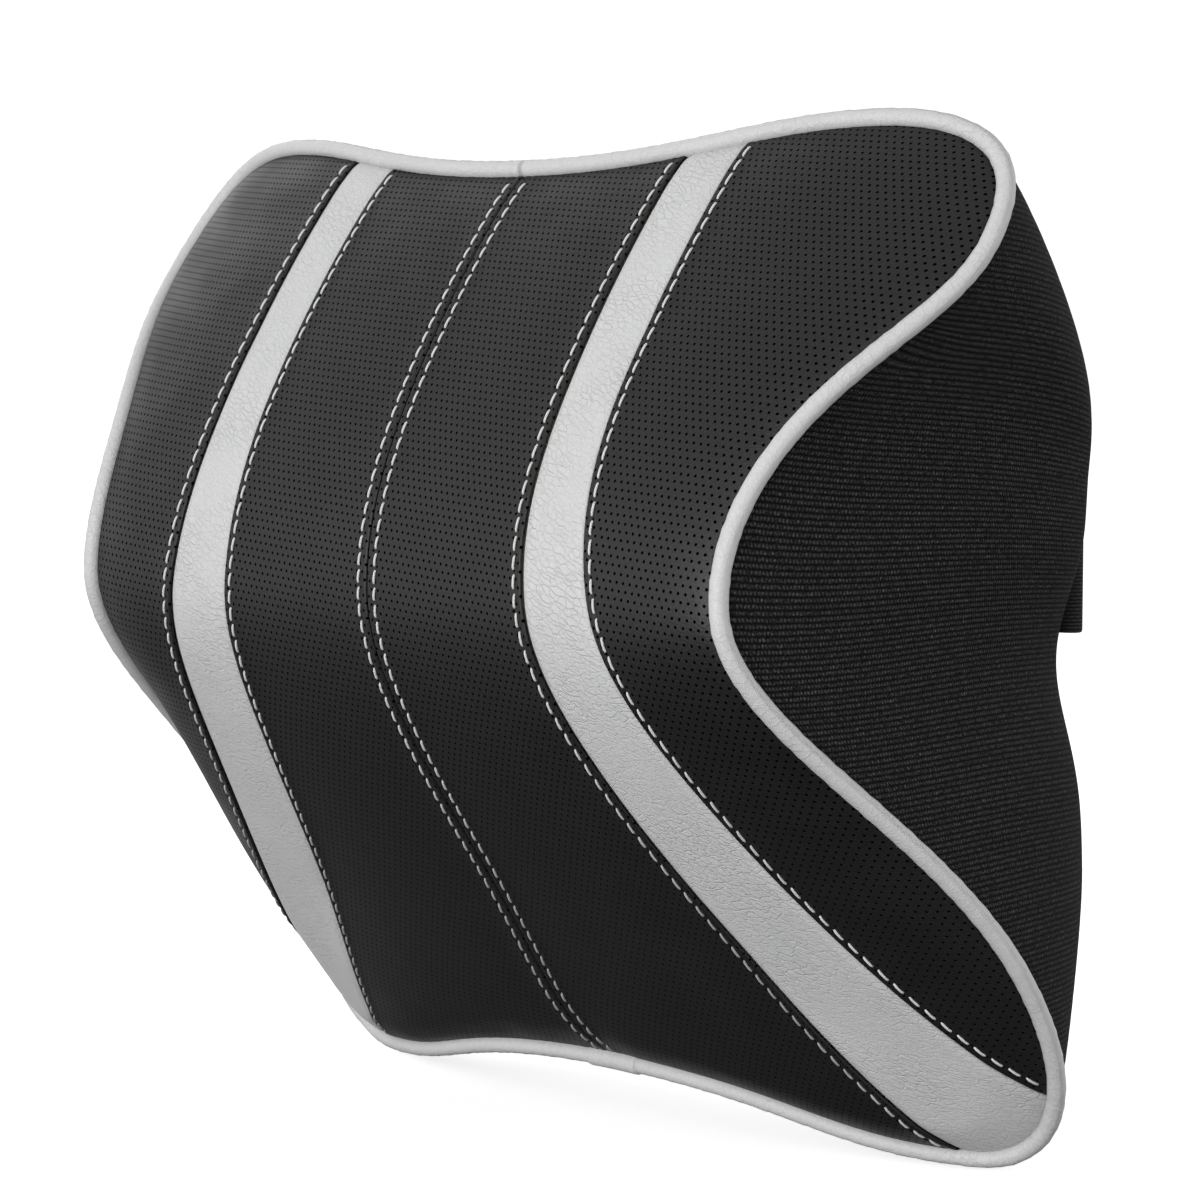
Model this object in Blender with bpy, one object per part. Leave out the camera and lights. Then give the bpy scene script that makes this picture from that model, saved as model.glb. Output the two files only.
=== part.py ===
"""Contoured headrest cushion that straps to a chair back.

Lengths are in millimetres in this file and are turned into metres as each mesh is made.
+Z is up, the face the neck rests on looks along -Y, and +X is to the right seen from the front.
The flat back that leans on the chair lies in y = 0, and the waist is near z = 0.
The cushion is symmetric about x = 0. Its foam and covers come first, then the zip, then the strap.
"""

import math

import bmesh
import bpy
from mathutils import Vector

MM = 0.001

# Front face: the seam line that the piping follows, right half, from top centre to bottom centre.
# Each knot is x, z and the direction the line runs in there.
FRONT_KNOTS = (
    (0.0, 109.0, "x"),
    (104.0, 118.0, "x"),
    (142.5, 89.0, "z"),
    (112.3, 14.5, "z"),
    (137.0, -78.6, "z"),
    (106.0, -128.5, "x"),
    (0.0, -116.7, "x"),
)
# Back face: the edge of its flat, knot for knot with the front line.
BACK_KNOTS = (
    (0.0, 84.0, "x"),
    (55.0, 75.0, "x"),
    (118.0, 46.0, "z"),
    (116.0, 12.0, "z"),
    (115.8, -53.0, "z"),
    (59.5, -94.7, "x"),
    (0.0, -95.0, "x"),
)
# How strongly each stretch holds its direction at its start and end.
STRENGTH = ((0.51, 0.32), (0.71, 0.62), (0.29, 0.60), (0.39, 0.38), (0.57, 0.65), (0.39, 0.59))
LAST = float(len(STRENGTH))

# Crown of the front face, measured forward from the back
CREST = 127.0
CREST_Z = 7.4
FALL_UP = (68.6, 69.7)
FALL_DOWN = (23.4, 28.5)
CROSS_FALL = 8.6
CROSS_FALL_UP = 12.7
CROSS_FALL_DOWN = 25.1
CROSS_REACH = 32.5
CROSS_POWER = 4.25
HALF_WIDTH = 143.0

# Sides and back
BACK_Y = 0.0
BACK_DROP = 0.9
SIDE_SWELL = 26.6
SIDE_REACH = 55.5
SWELL_Z = 11.5
SQUARE_TOP = 1.08
SQUARE_BOTTOM = 1.29
SQUARE_MIDDLE = 1.7
SQUARE_WAIST = 2.37
CORNER_X = (45.0, 95.0)
PINCH = 11.2
PINCH_Z = -7.7
PINCH_REACH = 24.0
FLAT_SHARE = 0.94
FLAT_NOTCH = 26.0
FLAT_NOTCH_REACH = 30.0

# Seams between the front panels: half distance from the centre line
STRIPE_INNER = 52.4
STRIPE_OUTER = 69.5
GAP = 0.3

# Covers and core
LEATHER = 2.0
KNIT = 1.5
PIPING_R = 2.7
RIM_GAP = PIPING_R + 0.7
ROUND = 52
CORE_GAP = 3.0
FOAM_BACK_Y = BACK_Y - 2.9

# Zip across the back
ZIP_Z = -62.0
ZIP_HALF = 86.0
SLOT_HALF = 5.5
TAPE = 0.8
TAPE_Y = BACK_Y - KNIT - 0.3 - TAPE / 2
COIL_W = 1.9
COIL_T = 2.2
COIL_Y = BACK_Y - 2.0
COIL_SPLIT = 1.7
SLIDER_L = 9.0
SLIDER_W = 7.6
SLIDER_X = ZIP_HALF - 9.0
PULL_L = 26.0
PIN_R = 0.55
PIN_Y = BACK_Y + 3.2

# Strap and its fittings
STRAP_W = 25.0
STRAP_T = 1.6
STRAP_Z = 9.0
STRAP_Y = 11.0
BUCKLE_Y = STRAP_Y + 4.6
BUCKLE_T = 10.0
MOUTH_X = -20.0
FEMALE_L = 41.0
MALE_BASE = 18.0
PRONG_L = 24.0
GLIDE_X = 26.0
GLIDE_L = 16.0


def material(name, colour, roughness, metallic=0.0):
    made = bpy.data.materials.new(name)
    made.use_nodes = True
    shader = made.node_tree.nodes["Principled BSDF"]
    shader.inputs["Base Color"].default_value = (*colour, 1.0)
    shader.inputs["Roughness"].default_value = roughness
    shader.inputs["Metallic"].default_value = metallic
    made.diffuse_color = (*colour, 1.0)
    return made


def add_object(name, bm, mat, origin=(0.0, 0.0, 0.0)):
    """Turn a mesh drawn in millimetres into a named object in metres, with its origin where asked."""
    bmesh.ops.remove_doubles(bm, verts=bm.verts, dist=0.001)
    bmesh.ops.recalc_face_normals(bm, faces=bm.faces)
    bmesh.ops.translate(bm, verts=bm.verts, vec=-Vector(origin))
    bmesh.ops.scale(bm, verts=bm.verts, vec=(MM, MM, MM))
    mesh = bpy.data.meshes.new(name)
    bm.to_mesh(mesh)
    bm.free()
    made = bpy.data.objects.new(name, mesh)
    made.location = Vector(origin) * MM
    made.data.materials.append(mat)
    bpy.context.collection.objects.link(made)
    return made


def add_axis(name, at):
    """An empty on a joint's axis, for the pieces that move about it."""
    made = bpy.data.objects.new(name, None)
    made.location = Vector(at) * MM
    made.empty_display_size = 0.01
    bpy.context.collection.objects.link(made)
    return made


def hang(piece, parent):
    """Parent a piece and leave it where it stands."""
    bpy.context.view_layer.update()
    piece.parent = parent
    piece.matrix_parent_inverse = parent.matrix_world.inverted()


def cut(piece, cutter):
    """Take the cutter's shape out of the piece."""
    cutter.hide_render = True
    cutter.display_type = "WIRE"
    modifier = piece.modifiers.new("cut " + cutter.name, "BOOLEAN")
    modifier.operation = "DIFFERENCE"
    modifier.solver = "EXACT"
    modifier.object = cutter


def fuse(piece, other):
    """Join the other shape to the piece."""
    cut(piece, other)
    piece.modifiers[-1].operation = "UNION"


def thicken(piece, thickness):
    """Give a surface its thickness, measured inward from the side its normals face."""
    modifier = piece.modifiers.new("thickness", "SOLIDIFY")
    modifier.thickness = thickness * MM
    modifier.offset = -1.0


def round_edges(piece, width, segments=2):
    modifier = piece.modifiers.new("round", "BEVEL")
    modifier.width = width * MM
    modifier.segments = segments
    modifier.limit_method = "ANGLE"
    modifier.angle_limit = math.radians(50.0)


def box_mesh(x, y, z):
    """A box between the two limits given for each direction."""
    bm = bmesh.new()
    bmesh.ops.create_cube(bm, size=1.0)
    for vert in bm.verts:
        vert.co.x = x[1] if vert.co.x > 0 else x[0]
        vert.co.y = y[1] if vert.co.y > 0 else y[0]
        vert.co.z = z[1] if vert.co.z > 0 else z[0]
    return bm


def prism_mesh(outline, z):
    """An outline in x and y, carried from the lower to the upper z."""
    bm = bmesh.new()
    low = [bm.verts.new((x, y, z[0])) for x, y in outline]
    face = bm.faces.new(low)
    grown = bmesh.ops.extrude_face_region(bm, geom=[face])["geom"]
    top = [item for item in grown if isinstance(item, bmesh.types.BMVert)]
    bmesh.ops.translate(bm, verts=top, vec=(0.0, 0.0, z[1] - z[0]))
    return bm


def grid_mesh(rows, closed=False):
    """Quads between successive rows of points; closed joins each row's end to its start."""
    bm = bmesh.new()
    lines = [[bm.verts.new(point) for point in row] for row in rows]
    count = len(lines[0])
    last = count if closed else count - 1
    for first, second in zip(lines, lines[1:]):
        for i in range(last):
            j = (i + 1) % count
            bm.faces.new((first[i], first[j], second[j], second[i]))
    return bm, lines


def mix(a, b, t):
    return a + (b - a) * t


# ---- Shape of the cushion


def knot_point(knots, u):
    """Point on a line of knots; u counts the stretches passed."""
    index = min(int(u), len(STRENGTH) - 1)
    t = u - index
    x0, z0, run0 = knots[index]
    x1, z1, run1 = knots[index + 1]
    hold0, hold1 = STRENGTH[index]
    ax, az = (x0 + (x1 - x0) * hold0, z0) if run0 == "x" else (x0, z0 + (z1 - z0) * hold0)
    bx, bz = (x1 - (x1 - x0) * hold1, z1) if run1 == "x" else (x1, z1 - (z1 - z0) * hold1)
    w0, w1, w2, w3 = (1 - t) ** 3, 3 * t * (1 - t) ** 2, 3 * t * t * (1 - t), t**3
    return Vector((w0 * x0 + w1 * ax + w2 * bx + w3 * x1, w0 * z0 + w1 * az + w2 * bz + w3 * z1))


def front_line(u, inset=0.0):
    """The piping's line in x and z, or a line that far inside it."""
    here = knot_point(FRONT_KNOTS, u)
    if not inset:
        return here
    before = knot_point(FRONT_KNOTS, max(u - 0.01, 0.0))
    after = knot_point(FRONT_KNOTS, min(u + 0.01, LAST))
    along = (after - before).normalized()
    return here + Vector((along.y, -along.x)) * inset


def spread(start, end, count):
    """Values of u from start to end, evenly spaced along the piping's line."""
    fine = [mix(start, end, i / 200) for i in range(201)]
    points = [front_line(u) for u in fine]
    run = [0.0]
    for a, b in zip(points, points[1:]):
        run.append(run[-1] + (b - a).length)
    values = []
    k = 0
    for i in range(count + 1):
        want = run[-1] * i / count
        while k < 199 and run[k + 1] < want:
            k += 1
        part = (want - run[k]) / max(run[k + 1] - run[k], 1e-9)
        values.append(mix(fine[k], fine[k + 1], part))
    return values


def crown(z):
    """Forward reach of the face along its centre line."""
    rise, reach = FALL_UP if z > CREST_Z else FALL_DOWN
    return CREST - rise * (math.sqrt(1.0 + ((z - CREST_Z) / reach) ** 2) - 1.0)


def front_point(x, z):
    extra = CROSS_FALL_UP if z > CREST_Z else CROSS_FALL_DOWN
    fall = CROSS_FALL + extra * (1.0 - math.exp(-(((z - CREST_Z) / CROSS_REACH) ** 2)))
    return Vector((x, fall * (abs(x) / HALF_WIDTH) ** CROSS_POWER - crown(z), z))


def side_shape(x, z):
    """Squareness and outward swell of the side that starts at x and z on the piping."""
    waist = math.exp(-(((z - SWELL_Z) / SIDE_REACH) ** 2))
    corner = mix(SQUARE_BOTTOM, SQUARE_TOP, min(max((z + 60.0) / 120.0, 0.0), 1.0))
    share = min(max((x - CORNER_X[0]) / (CORNER_X[1] - CORNER_X[0]), 0.0), 1.0)
    base = mix(SQUARE_MIDDLE, corner, share * share * (3.0 - 2.0 * share))
    return mix(base, SQUARE_WAIST, waist), SIDE_SWELL * waist


def side_point(u, turn):
    """Right-hand side surface: turn 0 is on the piping's line and turn 1 where it meets the back."""
    line = front_line(u)
    start = front_point(line.x, line.y)
    end = knot_point(BACK_KNOTS, u)
    square, swell = side_shape(start.x, start.z)
    back = math.sin(turn * math.pi / 2) ** (2 / square)
    front = math.cos(turn * math.pi / 2) ** (2 / square) if turn < 1.0 else 0.0
    x = mix(end.x, start.x, front) + swell * (back + front - 1.0)
    z = mix(end.y, start.z, front)
    x -= PINCH * math.exp(-(((z - PINCH_Z) / PINCH_REACH) ** 2)) * back**2 * min(x / 60.0, 1.0)
    return Vector((x, mix(start.y, BACK_Y - BACK_DROP, back), z))


def flat_point(u):
    """Edge of the true flat on the back, drawn in further where the strap is sewn on."""
    edge = side_point(u, 1.0) * FLAT_SHARE
    notch = FLAT_NOTCH * math.exp(-(((edge.z - STRAP_Z) / FLAT_NOTCH_REACH) ** 2))
    return Vector((edge.x - notch * min(edge.x / 60.0, 1.0), BACK_Y, edge.z))


def first_turn(u, gap):
    """Turn at which the side surface is the gap behind the piping's line."""
    line = front_line(u)
    start = front_point(line.x, line.y)
    before = front_line(max(u - 0.02, 0.0))
    after = front_line(min(u + 0.02, LAST))
    along = front_point(after.x, after.y) - front_point(before.x, before.y)
    level = math.hypot(along.x, along.z) / along.length
    square, _ = side_shape(start.x, start.z)
    return 2 / math.pi * math.asin((gap / level / (BACK_Y - BACK_DROP - start.y)) ** (square / 2))


def loop_values(count):
    """Values of u round the whole cushion with the side they are on, 1 for right and -1 for left."""
    right = [(u, 1.0) for u in spread(0.0, LAST, count)]
    left = [(u, -1.0) for u, _ in right[-2:0:-1]]
    return right + left


def side_ring(values, turn, gap):
    """A closed ring of points on the side surface, at a share of the way from the gap to the back."""
    ring = []
    for u, side in values:
        first = first_turn(u, gap)
        point = side_point(u, mix(first, 1.0, turn))
        ring.append(Vector((side * point.x, point.y, point.z)))
    return ring


# ---- Covers and core


def seam_centre(z):
    return GAP / 2


def seam_inner(z):
    return STRIPE_INNER + 47.2 * (max(37.1 - z, 0.0) / 158.0) ** 2.1


def seam_outer(z):
    return STRIPE_OUTER + 62.0 * (max(55.0 - z, 0.0) / 168.0) ** 1.96


def meeting(seam, shift, at_top):
    """Where a seam between panels meets the rim of the front face."""

    def miss(u):
        rim = front_line(u, RIM_GAP)
        return rim.x - seam(rim.y) - shift

    low, high = (0.0, 2.0) if at_top else (LAST, 4.0)
    for _ in range(40):
        middle = (low + high) / 2
        if miss(middle) < 0.0:
            low = middle
        else:
            high = middle
    return low


def rim_stretch(start, end, count):
    return [front_line(u, RIM_GAP) for u in spread(start, end, count)]


def seam_stretch(seam, shift, low, high, count):
    """Points along a seam between the heights of two rim points."""
    bottom = front_line(low, RIM_GAP).y
    top = front_line(high, RIM_GAP).y
    heights = [mix(bottom, top, i / count) for i in range(count + 1)]
    return [Vector((seam(z) + shift, z)) for z in heights]


def panel(name, left, right, bottom, top, side, mat):
    """A cover panel filled in between its four edges on the front face."""
    rows = []
    across = len(bottom) - 1
    along = len(left) - 1
    for j in range(along + 1):
        v = j / along
        row = []
        for i in range(across + 1):
            u = i / across
            corners = mix(mix(bottom[0], bottom[-1], u), mix(top[0], top[-1], u), v)
            flat = mix(left[j], right[j], u) + mix(bottom[i], top[i], v) - corners
            point = front_point(flat.x, flat.y)
            row.append((side * point.x, point.y, point.z))
        rows.append(row if side > 0 else row[::-1])
    bm, _ = grid_mesh(rows)
    made = add_object(name, bm, mat)
    thicken(made, LEATHER)
    return made


def front_panels(side, word, black, grey):
    """The centre panel, stripe and outer panel of one half of the face."""
    half = GAP / 2
    rows = 26
    centre = [meeting(seam_centre, 0.0, top) for top in (False, True)]
    inner_a = [meeting(seam_inner, -half, top) for top in (False, True)]
    inner_b = [meeting(seam_inner, half, top) for top in (False, True)]
    outer_a = [meeting(seam_outer, -half, top) for top in (False, True)]
    outer_b = [meeting(seam_outer, half, top) for top in (False, True)]
    panel(
        "front_panel_centre_" + word,
        seam_stretch(seam_centre, 0.0, *centre, rows),
        seam_stretch(seam_inner, -half, *inner_a, rows),
        rim_stretch(centre[0], inner_a[0], 6),
        rim_stretch(centre[1], inner_a[1], 6),
        side,
        black,
    )
    panel(
        "stripe_" + word,
        seam_stretch(seam_inner, half, *inner_b, rows),
        seam_stretch(seam_outer, -half, *outer_a, rows),
        rim_stretch(inner_b[0], outer_a[0], 3),
        rim_stretch(inner_b[1], outer_a[1], 3),
        side,
        grey,
    )
    corner = 1.75
    tip = front_line(outer_b[0], RIM_GAP)
    panel(
        "front_panel_outer_" + word,
        seam_stretch(seam_outer, half, *outer_b, rows),
        rim_stretch(outer_b[0], corner, rows),
        [tip] * 11,
        rim_stretch(outer_b[1], corner, 10),
        side,
        black,
    )


def back_cover(mat):
    values = loop_values(ROUND)
    rings = [side_ring(values, k / 6, RIM_GAP) for k in range(7)]
    flats = [(side, flat_point(u)) for u, side in values]
    rings.append([Vector((side * point.x, point.y, point.z)) for side, point in flats])
    bm, lines = grid_mesh(rings, closed=True)
    bm.faces.new(lines[-1])
    made = add_object("back_cover", bm, mat)
    thicken(made, KNIT)
    slot = box_mesh(
        (-ZIP_HALF - 2.0, ZIP_HALF + 2.0),
        (BACK_Y - 4.0, BACK_Y + 2.0),
        (ZIP_Z - SLOT_HALF, ZIP_Z + SLOT_HALF),
    )
    cut(made, add_object("zip_slot_cutter", slot, mat))


def foam_core(mat):
    """One block: rings in from the rim over the face, and rings round the sides to the back."""
    values = loop_values(26)
    centre = Vector((0.0, -6.0))
    rings = []
    for share in (0.12, 0.36, 0.58, 0.78, 1.0):
        ring = []
        for u, side in values:
            line = front_line(u, 7.0)
            flat = mix(centre, line, share)
            point = front_point(flat.x, flat.y)
            ring.append(Vector((side * point.x, point.y, point.z)))
        rings.append(ring)
    rings += [side_ring(values, k / 6, 9.0) for k in range(7)]
    bm, lines = grid_mesh(rings, closed=True)
    bm.faces.new(lines[0][::-1])
    bm.faces.new(lines[-1])
    bmesh.ops.recalc_face_normals(bm, faces=bm.faces)
    bm.normal_update()
    for vert in bm.verts:
        vert.co -= vert.normal * CORE_GAP
    for vert in lines[-1]:
        vert.co.y = FOAM_BACK_Y
    made = add_object("foam_core", bm, mat)
    groove = box_mesh(
        (-ZIP_HALF - 6.0, ZIP_HALF + 6.0),
        (BACK_Y - 6.0, BACK_Y + 2.0),
        (ZIP_Z - 8.0, ZIP_Z + 8.0),
    )
    cut(made, add_object("zip_groove_cutter", groove, mat))


def edge_piping(mat):
    """The welt round the face. Its two ends butt together just right of the bottom centre."""
    values = loop_values(ROUND)
    path = [front_line(u) for u, _ in values]
    centres = [front_point(side * p.x, p.y) for p, (_, side) in zip(path, values)]
    centres = centres[ROUND:] + centres[:ROUND]
    joint = mix(centres[-1], centres[0], 0.4)
    seam = (centres[0] - centres[-1]).normalized() * GAP / 2
    centres = [joint + seam] + centres + [joint - seam]
    rows = []
    inward = Vector((0.0, 1.0, 0.0))
    for i, here in enumerate(centres):
        before = centres[max(i - 1, 0)]
        after = centres[min(i + 1, len(centres) - 1)]
        along = (after - before).normalized()
        across = along.cross(inward).normalized()
        up = across.cross(along).normalized()
        angles = [2 * math.pi * k / 8 for k in range(8)]
        rows.append([here + (across * math.cos(a) + up * math.sin(a)) * PIPING_R for a in angles])
    bm, lines = grid_mesh(rows, closed=True)
    bm.faces.new(lines[0][::-1])
    bm.faces.new(lines[-1])
    add_object("edge_piping", bm, mat)


def care_label(mat):
    """A blank label sewn flat on the slope below the back, left of the middle."""
    rows = []
    for turn in (0.34, 0.42, 0.50, 0.58):
        row = []
        for step in range(5):
            u = mix(4.98, 5.24, step / 4)
            point = side_point(u, turn)
            out = (point - Vector((point.x * 0.9, -49.0, -60.0))).normalized()
            row.append(Vector((-point.x, point.y, point.z)) + Vector((-out.x, out.y, out.z)) * 1.2)
        rows.append(row)
    bm, _ = grid_mesh(rows)
    made = add_object("care_label", bm, mat)
    thicken(made, 0.5)


# ---- Zip


def zip_fastener(tape_mat, coil_mat, metal_mat):
    """Two tapes with a coil each, a slider with its pull, and a stop at each end."""
    for word, side in (("upper", 1.0), ("lower", -1.0)):
        inner = ZIP_Z + side * (COIL_SPLIT / 2)
        outer = inner + side * COIL_W
        coil_z = sorted((inner, outer))
        coil_y = (COIL_Y - COIL_T / 2, COIL_Y + COIL_T / 2)
        coil = box_mesh((-ZIP_HALF, ZIP_HALF), coil_y, coil_z)
        round_edges(add_object("zip_coil_" + word, coil, coil_mat), 0.5, 1)
        tape_z = sorted((outer + side * 0.3, ZIP_Z + side * 14.0))
        tape_y = (TAPE_Y - TAPE / 2, TAPE_Y + TAPE / 2)
        tape = box_mesh((-ZIP_HALF - 4.0, ZIP_HALF + 4.0), tape_y, tape_z)
        add_object("zip_tape_" + word, tape, tape_mat)
    stop_y = (COIL_Y - COIL_T / 2, COIL_Y + COIL_T / 2 + 0.4)
    stop_z = (ZIP_Z - 2.4, ZIP_Z + 2.4)
    for word, side in (("closed", 1.0), ("open", -1.0)):
        stop_x = sorted((side * (ZIP_HALF + 0.3), side * (ZIP_HALF + 1.9)))
        round_edges(add_object("zip_stop_" + word, box_mesh(stop_x, stop_y, stop_z), metal_mat), 0.3, 1)


def zip_slider(mat):
    """Two plates joined by a neck between the coils, with a bridge for the pull on top."""
    x = (SLIDER_X - SLIDER_L / 2, SLIDER_X + SLIDER_L / 2)
    z = (ZIP_Z - SLIDER_W / 2, ZIP_Z + SLIDER_W / 2)
    coil_low = COIL_Y - COIL_T / 2 - 0.35
    coil_high = COIL_Y + COIL_T / 2 + 0.35
    origin = (SLIDER_X, PIN_Y, ZIP_Z)
    top = add_object("zip_slider", box_mesh(x, (coil_high, coil_high + 1.1), z), mat, origin)
    low = box_mesh(x, (coil_low - 0.9, coil_low), z)
    fuse(top, add_object("slider_low_plate", low, mat))
    neck = box_mesh((SLIDER_X + 0.6, SLIDER_X + 3.6), (coil_low - 0.4, coil_high + 0.4), (ZIP_Z - 0.5, ZIP_Z + 0.5))
    fuse(top, add_object("slider_neck", neck, mat))
    plate_top = coil_high + 1.1
    outline = []
    for radius, ends in ((3.6, (0.0, math.pi)), (2.2, (math.pi, 0.0))):
        for step in range(7):
            angle = mix(*ends, step / 6)
            height = (PIN_Y - plate_top + radius * 0.65) * math.sin(angle)
            outline.append((SLIDER_X + radius * math.cos(angle), plate_top - 0.3 + max(height, 0.0)))
    bridge = prism_mesh(outline, (ZIP_Z - 0.8, ZIP_Z + 0.8))
    fuse(top, add_object("slider_bridge", bridge, mat))
    return top


def zip_pull(mat):
    """A flat tab with a fork whose pin passes under the slider's bridge."""
    origin = (SLIDER_X, PIN_Y, ZIP_Z)
    y = (PIN_Y - PIN_R, PIN_Y + PIN_R)
    tab_x = (SLIDER_X - PULL_L, SLIDER_X - 5.0)
    tab = add_object("zip_pull", box_mesh(tab_x, y, (ZIP_Z - 2.6, ZIP_Z + 2.6)), mat, origin)
    for side in (1.0, -1.0):
        arm_z = sorted((ZIP_Z + side * 1.5, ZIP_Z + side * 2.6))
        arm = box_mesh((SLIDER_X - 6.0, SLIDER_X + PIN_R), y, arm_z)
        fuse(tab, add_object("pull_arm_%d" % side, arm, mat))
    pin = box_mesh((SLIDER_X - PIN_R, SLIDER_X + PIN_R), y, (ZIP_Z - 2.0, ZIP_Z + 2.0))
    fuse(tab, add_object("pull_pin", pin, mat))
    hole_x = (SLIDER_X - PULL_L + 2.5, SLIDER_X - PULL_L + 6.5)
    hole = box_mesh(hole_x, (PIN_Y - 2.0, PIN_Y + 2.0), (ZIP_Z - 1.1, ZIP_Z + 1.1))
    cut(tab, add_object("pull_hole_cutter", hole, mat))
    return tab


# ---- Strap


def smooth_path(points, steps=5):
    """A curve through the points, in x and y."""
    ends = [points[0]] + list(points) + [points[-1]]
    path = []
    for a, b, c, d in zip(ends, ends[1:], ends[2:], ends[3:]):
        for k in range(steps):
            t = k / steps
            path.append(
                Vector(
                    0.5 * (2 * q + (r - p) * t + (2 * p - 5 * q + 4 * r - s) * t**2 + (3 * q - p - 3 * r + s) * t**3)
                    for p, q, r, s in zip(a, b, c, d)
                )
            )
    path.append(Vector(points[-1]))
    return path


def band_mesh(path, width=STRAP_W, thickness=STRAP_T):
    """Webbing that follows a path in x and y, with its width along z."""
    left, right = [], []
    for i, here in enumerate(path):
        before = path[max(i - 1, 0)]
        after = path[min(i + 1, len(path) - 1)]
        along = (after - before).normalized()
        across = Vector((-along.y, along.x)) * thickness / 2
        left.append(here + across)
        right.append(here - across)
    outline = [tuple(p) for p in left + right[::-1]]
    return prism_mesh(outline, (STRAP_Z - width / 2, STRAP_Z + width / 2))


# Half of the strap as it leaves the back corner and turns across the back, from its sewn end
STRAP_ROOT = (
    (90.0, 1.4),
    (95.0, 1.3),
    (100.0, 1.3),
    (107.4, 1.5),
    (110.4, 3.0),
    (110.4, 5.4),
    (107.2, 7.2),
    (99.0, 9.1),
    (88.0, 10.5),
    (76.0, STRAP_Y),
)


def strap(webbing):
    """Both halves of the strap, and the tail that comes back from the buckle's plug."""
    left_bar = MOUTH_X - FEMALE_L + 3.0
    root = smooth_path([(-x, y) for x, y in STRAP_ROOT])
    turn = [
        (left_bar - 9.0, STRAP_Y),
        (left_bar - 2.0, STRAP_Y + 0.9),
        (left_bar + 3.4, STRAP_Y + 2.2),
        (left_bar + 4.1, BUCKLE_Y),
        (left_bar + 3.2, BUCKLE_Y + 2.9),
        (left_bar - 1.5, BUCKLE_Y + 3.7),
        (left_bar - 7.0, BUCKLE_Y + 0.6),
        (left_bar - 12.0, STRAP_Y + 2.1),
        (left_bar - 20.0, STRAP_Y + 1.9),
    ]
    add_object("strap_left", band_mesh(root + smooth_path(turn)), webbing)
    bar = MOUTH_X + MALE_BASE + 0.6
    root = smooth_path(STRAP_ROOT)
    add_object("strap_right", band_mesh(root + [Vector((bar + 30.0, STRAP_Y)), Vector((bar - 3.0, STRAP_Y))]), webbing)
    tail = [
        (bar - 6.2, BUCKLE_Y + 0.2),
        (bar - 5.0, BUCKLE_Y + 3.0),
        (bar + 0.4, BUCKLE_Y + 3.2),
        (bar + 6.0, BUCKLE_Y + 0.2),
        (bar + 11.0, STRAP_Y + 2.1),
        (bar + 30.0, STRAP_Y + 1.95),
        (bar + 50.0, STRAP_Y + 1.95),
    ]
    return add_object("strap_tail", band_mesh(smooth_path(tail)), webbing, (MOUTH_X, BUCKLE_Y, STRAP_Z))


def strap_anchor(word, side, mat):
    """A patch sewn over the end of the strap at the back corner."""
    path = [(side * 89.0, 3.1), (side * 93.0, 3.0), (side * 97.5, 3.0)]
    band = band_mesh(smooth_path(path), STRAP_W + 5.0, 1.0)
    add_object("strap_anchor_" + word, band, mat)


def buckle_female(mat):
    """The socket: open at its mouth, windowed at its sides, with a bar for the strap behind."""
    x = (MOUTH_X - FEMALE_L, MOUTH_X)
    y = (BUCKLE_Y - BUCKLE_T / 2, BUCKLE_Y + BUCKLE_T / 2)
    z = (STRAP_Z - 17.0, STRAP_Z + 17.0)
    body = add_object("buckle_female", box_mesh(x, y, z), mat)
    round_edges(body, 2.0)
    room = box_mesh((MOUTH_X - 26.0, MOUTH_X + 2.0), (BUCKLE_Y - 3.5, BUCKLE_Y + 3.5), (STRAP_Z - 13.6, STRAP_Z + 13.6))
    cut(body, add_object("socket_cutter", room, mat))
    windows = box_mesh((MOUTH_X - 21.0, MOUTH_X - 7.0), (BUCKLE_Y - 2.8, BUCKLE_Y + 2.8), (STRAP_Z - 20.0, STRAP_Z + 20.0))
    cut(body, add_object("window_cutter", windows, mat))
    slot = box_mesh((x[0] + 5.0, x[0] + 11.0), (y[0] - 2.0, y[1] + 2.0), (STRAP_Z - 13.2, STRAP_Z + 13.2))
    cut(body, add_object("female_slot_cutter", slot, mat))
    above = box_mesh((x[0] - 1.0, x[0] + 5.5), (BUCKLE_Y + 1.7, y[1] + 2.0), (STRAP_Z - 13.2, STRAP_Z + 13.2))
    cut(body, add_object("female_bar_top_cutter", above, mat))
    below = box_mesh((x[0] - 1.0, x[0] + 5.5), (y[0] - 2.0, BUCKLE_Y - 1.7), (STRAP_Z - 13.2, STRAP_Z + 13.2))
    cut(body, add_object("female_bar_low_cutter", below, mat))


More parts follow.
